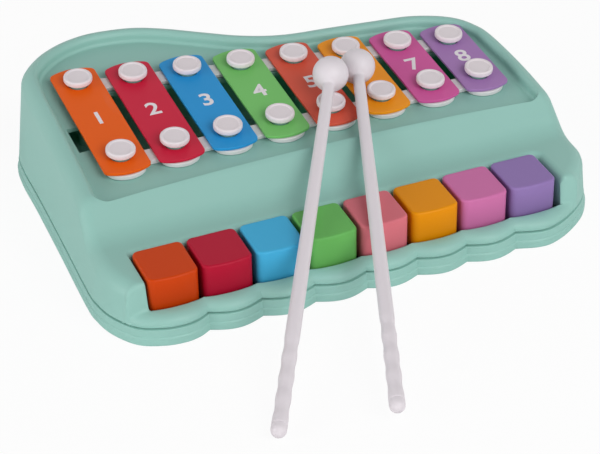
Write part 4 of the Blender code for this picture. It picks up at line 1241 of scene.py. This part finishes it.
def makeMallet(side, bar, aside, behind, turn, onCap):
    tilt, gap = bodyShape["tilt"], malletShape["gap"]
    ballY = frontRowY + behind
    seat = (barShape["bottom"] + barShape["thickness"]) / cos(tilt)
    seat += malletShape["capRise"] if onCap else 0
    ballZ = pocketFloor(ballY) + seat + malletShape["ball"] / cos(tilt) + gap
    # The stick lies on whichever it meets first: a key's front or back edge, or the crest
    rests = ((keyFrontY + malletShape["keyEdge"], keyShape["frontHeight"]),
             (keyFrontY + keyShape["depth"], keyShape["backHeight"]), (crestY, topHeight(crestY)))
    under = (malletShape["neck"] + malletShape["end"]) / 2 + gap
    fall = min((ballZ - z - under) / (ballY - y) for y, z in rests)
    turn = radians(turn)
    direction = Vector((-sin(turn), -cos(turn), -cos(turn) * fall)).normalized()
    bm = spinProfile(malletProfile(), malletShape["steps"])
    place = Matrix.Translation((barX(bar) + aside, ballY, ballZ))
    place @= direction.to_track_quat("-Z", "Y").to_matrix().to_4x4()
    moveAll(bm, place)
    finishPiece(f"{side}Mallet", bm, malletWhite, f"mallet_{side}",
                [f"mallet_{side}"], 60)


for malletSide in ("left", "right"):
    makeMallet(malletSide, *malletShape[malletSide])
print("mallets ready")


# Numbers printed on the bars

numberShape = {
    "height": 0.0150,        # type size
    "weight": 0.00028,       # how much bolder than the plain type
    "ink": 0.00004,
}


def makeNumbers():
    for i in row:
        words = bpy.data.curves.new("number", "FONT")
        words.body = str(i + 1)
        words.size = numberShape["height"]
        words.align_x, words.align_y = "CENTER", "CENTER"
        words.extrude = numberShape["ink"] / 2
        words.offset = numberShape["weight"]
        bm = curveShape(words)
        top = barShape["bottom"] + barShape["thickness"]
        seat = deckSeat(barX(i), barSpan(i) / 2, top + numberShape["ink"] / 2)
        moveAll(bm, seat)
        finishPiece(f"number{i + 1}", bm, numberWhite, "body", (), 30, False)


makeNumbers()
print("numbers ready")


# CAD pieces that keep their shape

def dressNodes():
    kept = {f"hammer_{i + 1}": hammerWhite for i in row}
    kept.update({f"base_screw_{i + 1}": steel for i in range(len(bossShares))})
    kept.update(key_shaft=steel, hammer_shaft=steel, hammer_rest_felt=felt, key_stop_felt=felt)
    for name, finish in kept.items():
        node = frame["nodes"][name]
        node.data.materials.clear()
        node.data.materials.append(finish)


dressNodes()
for helper in [item for item in scene.objects if item.hide_render and "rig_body" not in item]:
    bpy.data.objects.remove(helper, do_unlink=True)
print("inner pieces ready")


# Table and light

studio = {
    "horizon": 1.08,          # the surroundings' light, strongest near the table's level
    "zenith": 0.0,
    "front": ((0.45, -1.5, 1.30), 1.5, 19.6),      # place, size, power
    "left": ((-1.9, -0.3, 0.6), 1.4, 13.0),
    "tableSize": 3.0,
    "tableColour": 0.93,
    "tableWhite": 0.93,        # share of plain white in what the camera sees of the table
}


def makeTable():
    bm = bmesh.new()
    bmesh.ops.create_grid(bm, x_segments=1, y_segments=1, size=studio["tableSize"])
    mesh = meshFrom("tableTop", bm)
    table = placeObject("tableTop", mesh)
    material = bpy.data.materials.new("paleTable")
    material.use_nodes = True
    tree = material.node_tree
    shader = tree.nodes["Principled BSDF"]
    feed(tree, shader, {"Base Color": (*[studio["tableColour"]] * 3, 1), "Roughness": 0.9,
                        "Specular IOR Level": 0.1})
    # The camera sees it nearly white, and looks through it from below
    camera = addNode(tree, "ShaderNodeLightPath")["Is Camera Ray"]
    under = addNode(tree, "ShaderNodeNewGeometry")["Backfacing"]
    white = addNode(tree, "ShaderNodeEmission", Strength=1.0)[0]
    clear = addNode(tree, "ShaderNodeBsdfTransparent")[0]
    pale = mixShaders(tree, mathNode(tree, "MULTIPLY", camera, studio["tableWhite"]),
                      shader.outputs[0], white)
    mixed = mixShaders(tree, mathNode(tree, "MULTIPLY", camera, under), pale, clear)
    feed(tree, tree.nodes["Material Output"], {"Surface": mixed})
    mesh.materials.append(material)


def makeWorld():    # plain white to the camera and in reflections, softer as light
    world = bpy.data.worlds.new("studio")
    scene.world = world
    world.use_nodes = True
    tree = world.node_tree
    light = tree.nodes["Background"]
    parts = addNode(tree, "ShaderNodeSeparateXYZ",
                    Vector=addNode(tree, "ShaderNodeTexCoord")["Generated"])
    level = rangeNode(tree, parts[2], 0.0, 1.0, studio["horizon"], studio["zenith"])
    feed(tree, light, {"Color": (1, 1, 1, 1), "Strength": level})
    white = addNode(tree, "ShaderNodeBackground", Color=(1, 1, 1, 1))[0]
    path = addNode(tree, "ShaderNodeLightPath")
    seen = mathNode(tree, "MAXIMUM", path["Is Camera Ray"], path["Is Glossy Ray"])
    seen = mathNode(tree, "MAXIMUM", seen, path["Is Transmission Ray"])
    mixed = mixShaders(tree, seen, light.outputs[0], white)
    feed(tree, tree.nodes["World Output"], {"Surface": mixed})


def addSoftbox(name, place, size, power):
    data = bpy.data.lights.new(name, "AREA")
    data.shape = "DISK"
    data.size = size
    data.energy = power
    lamp = placeObject(name, data)
    lamp.location = place
    lamp.rotation_mode = "QUATERNION"
    lamp.rotation_quaternion = (-Vector(place)).to_track_quat("-Z", "Y")


makeTable()
makeWorld()
for lampName in ("front", "left"):
    addSoftbox(f"{lampName}Softbox", *studio[lampName])
print("studio ready")
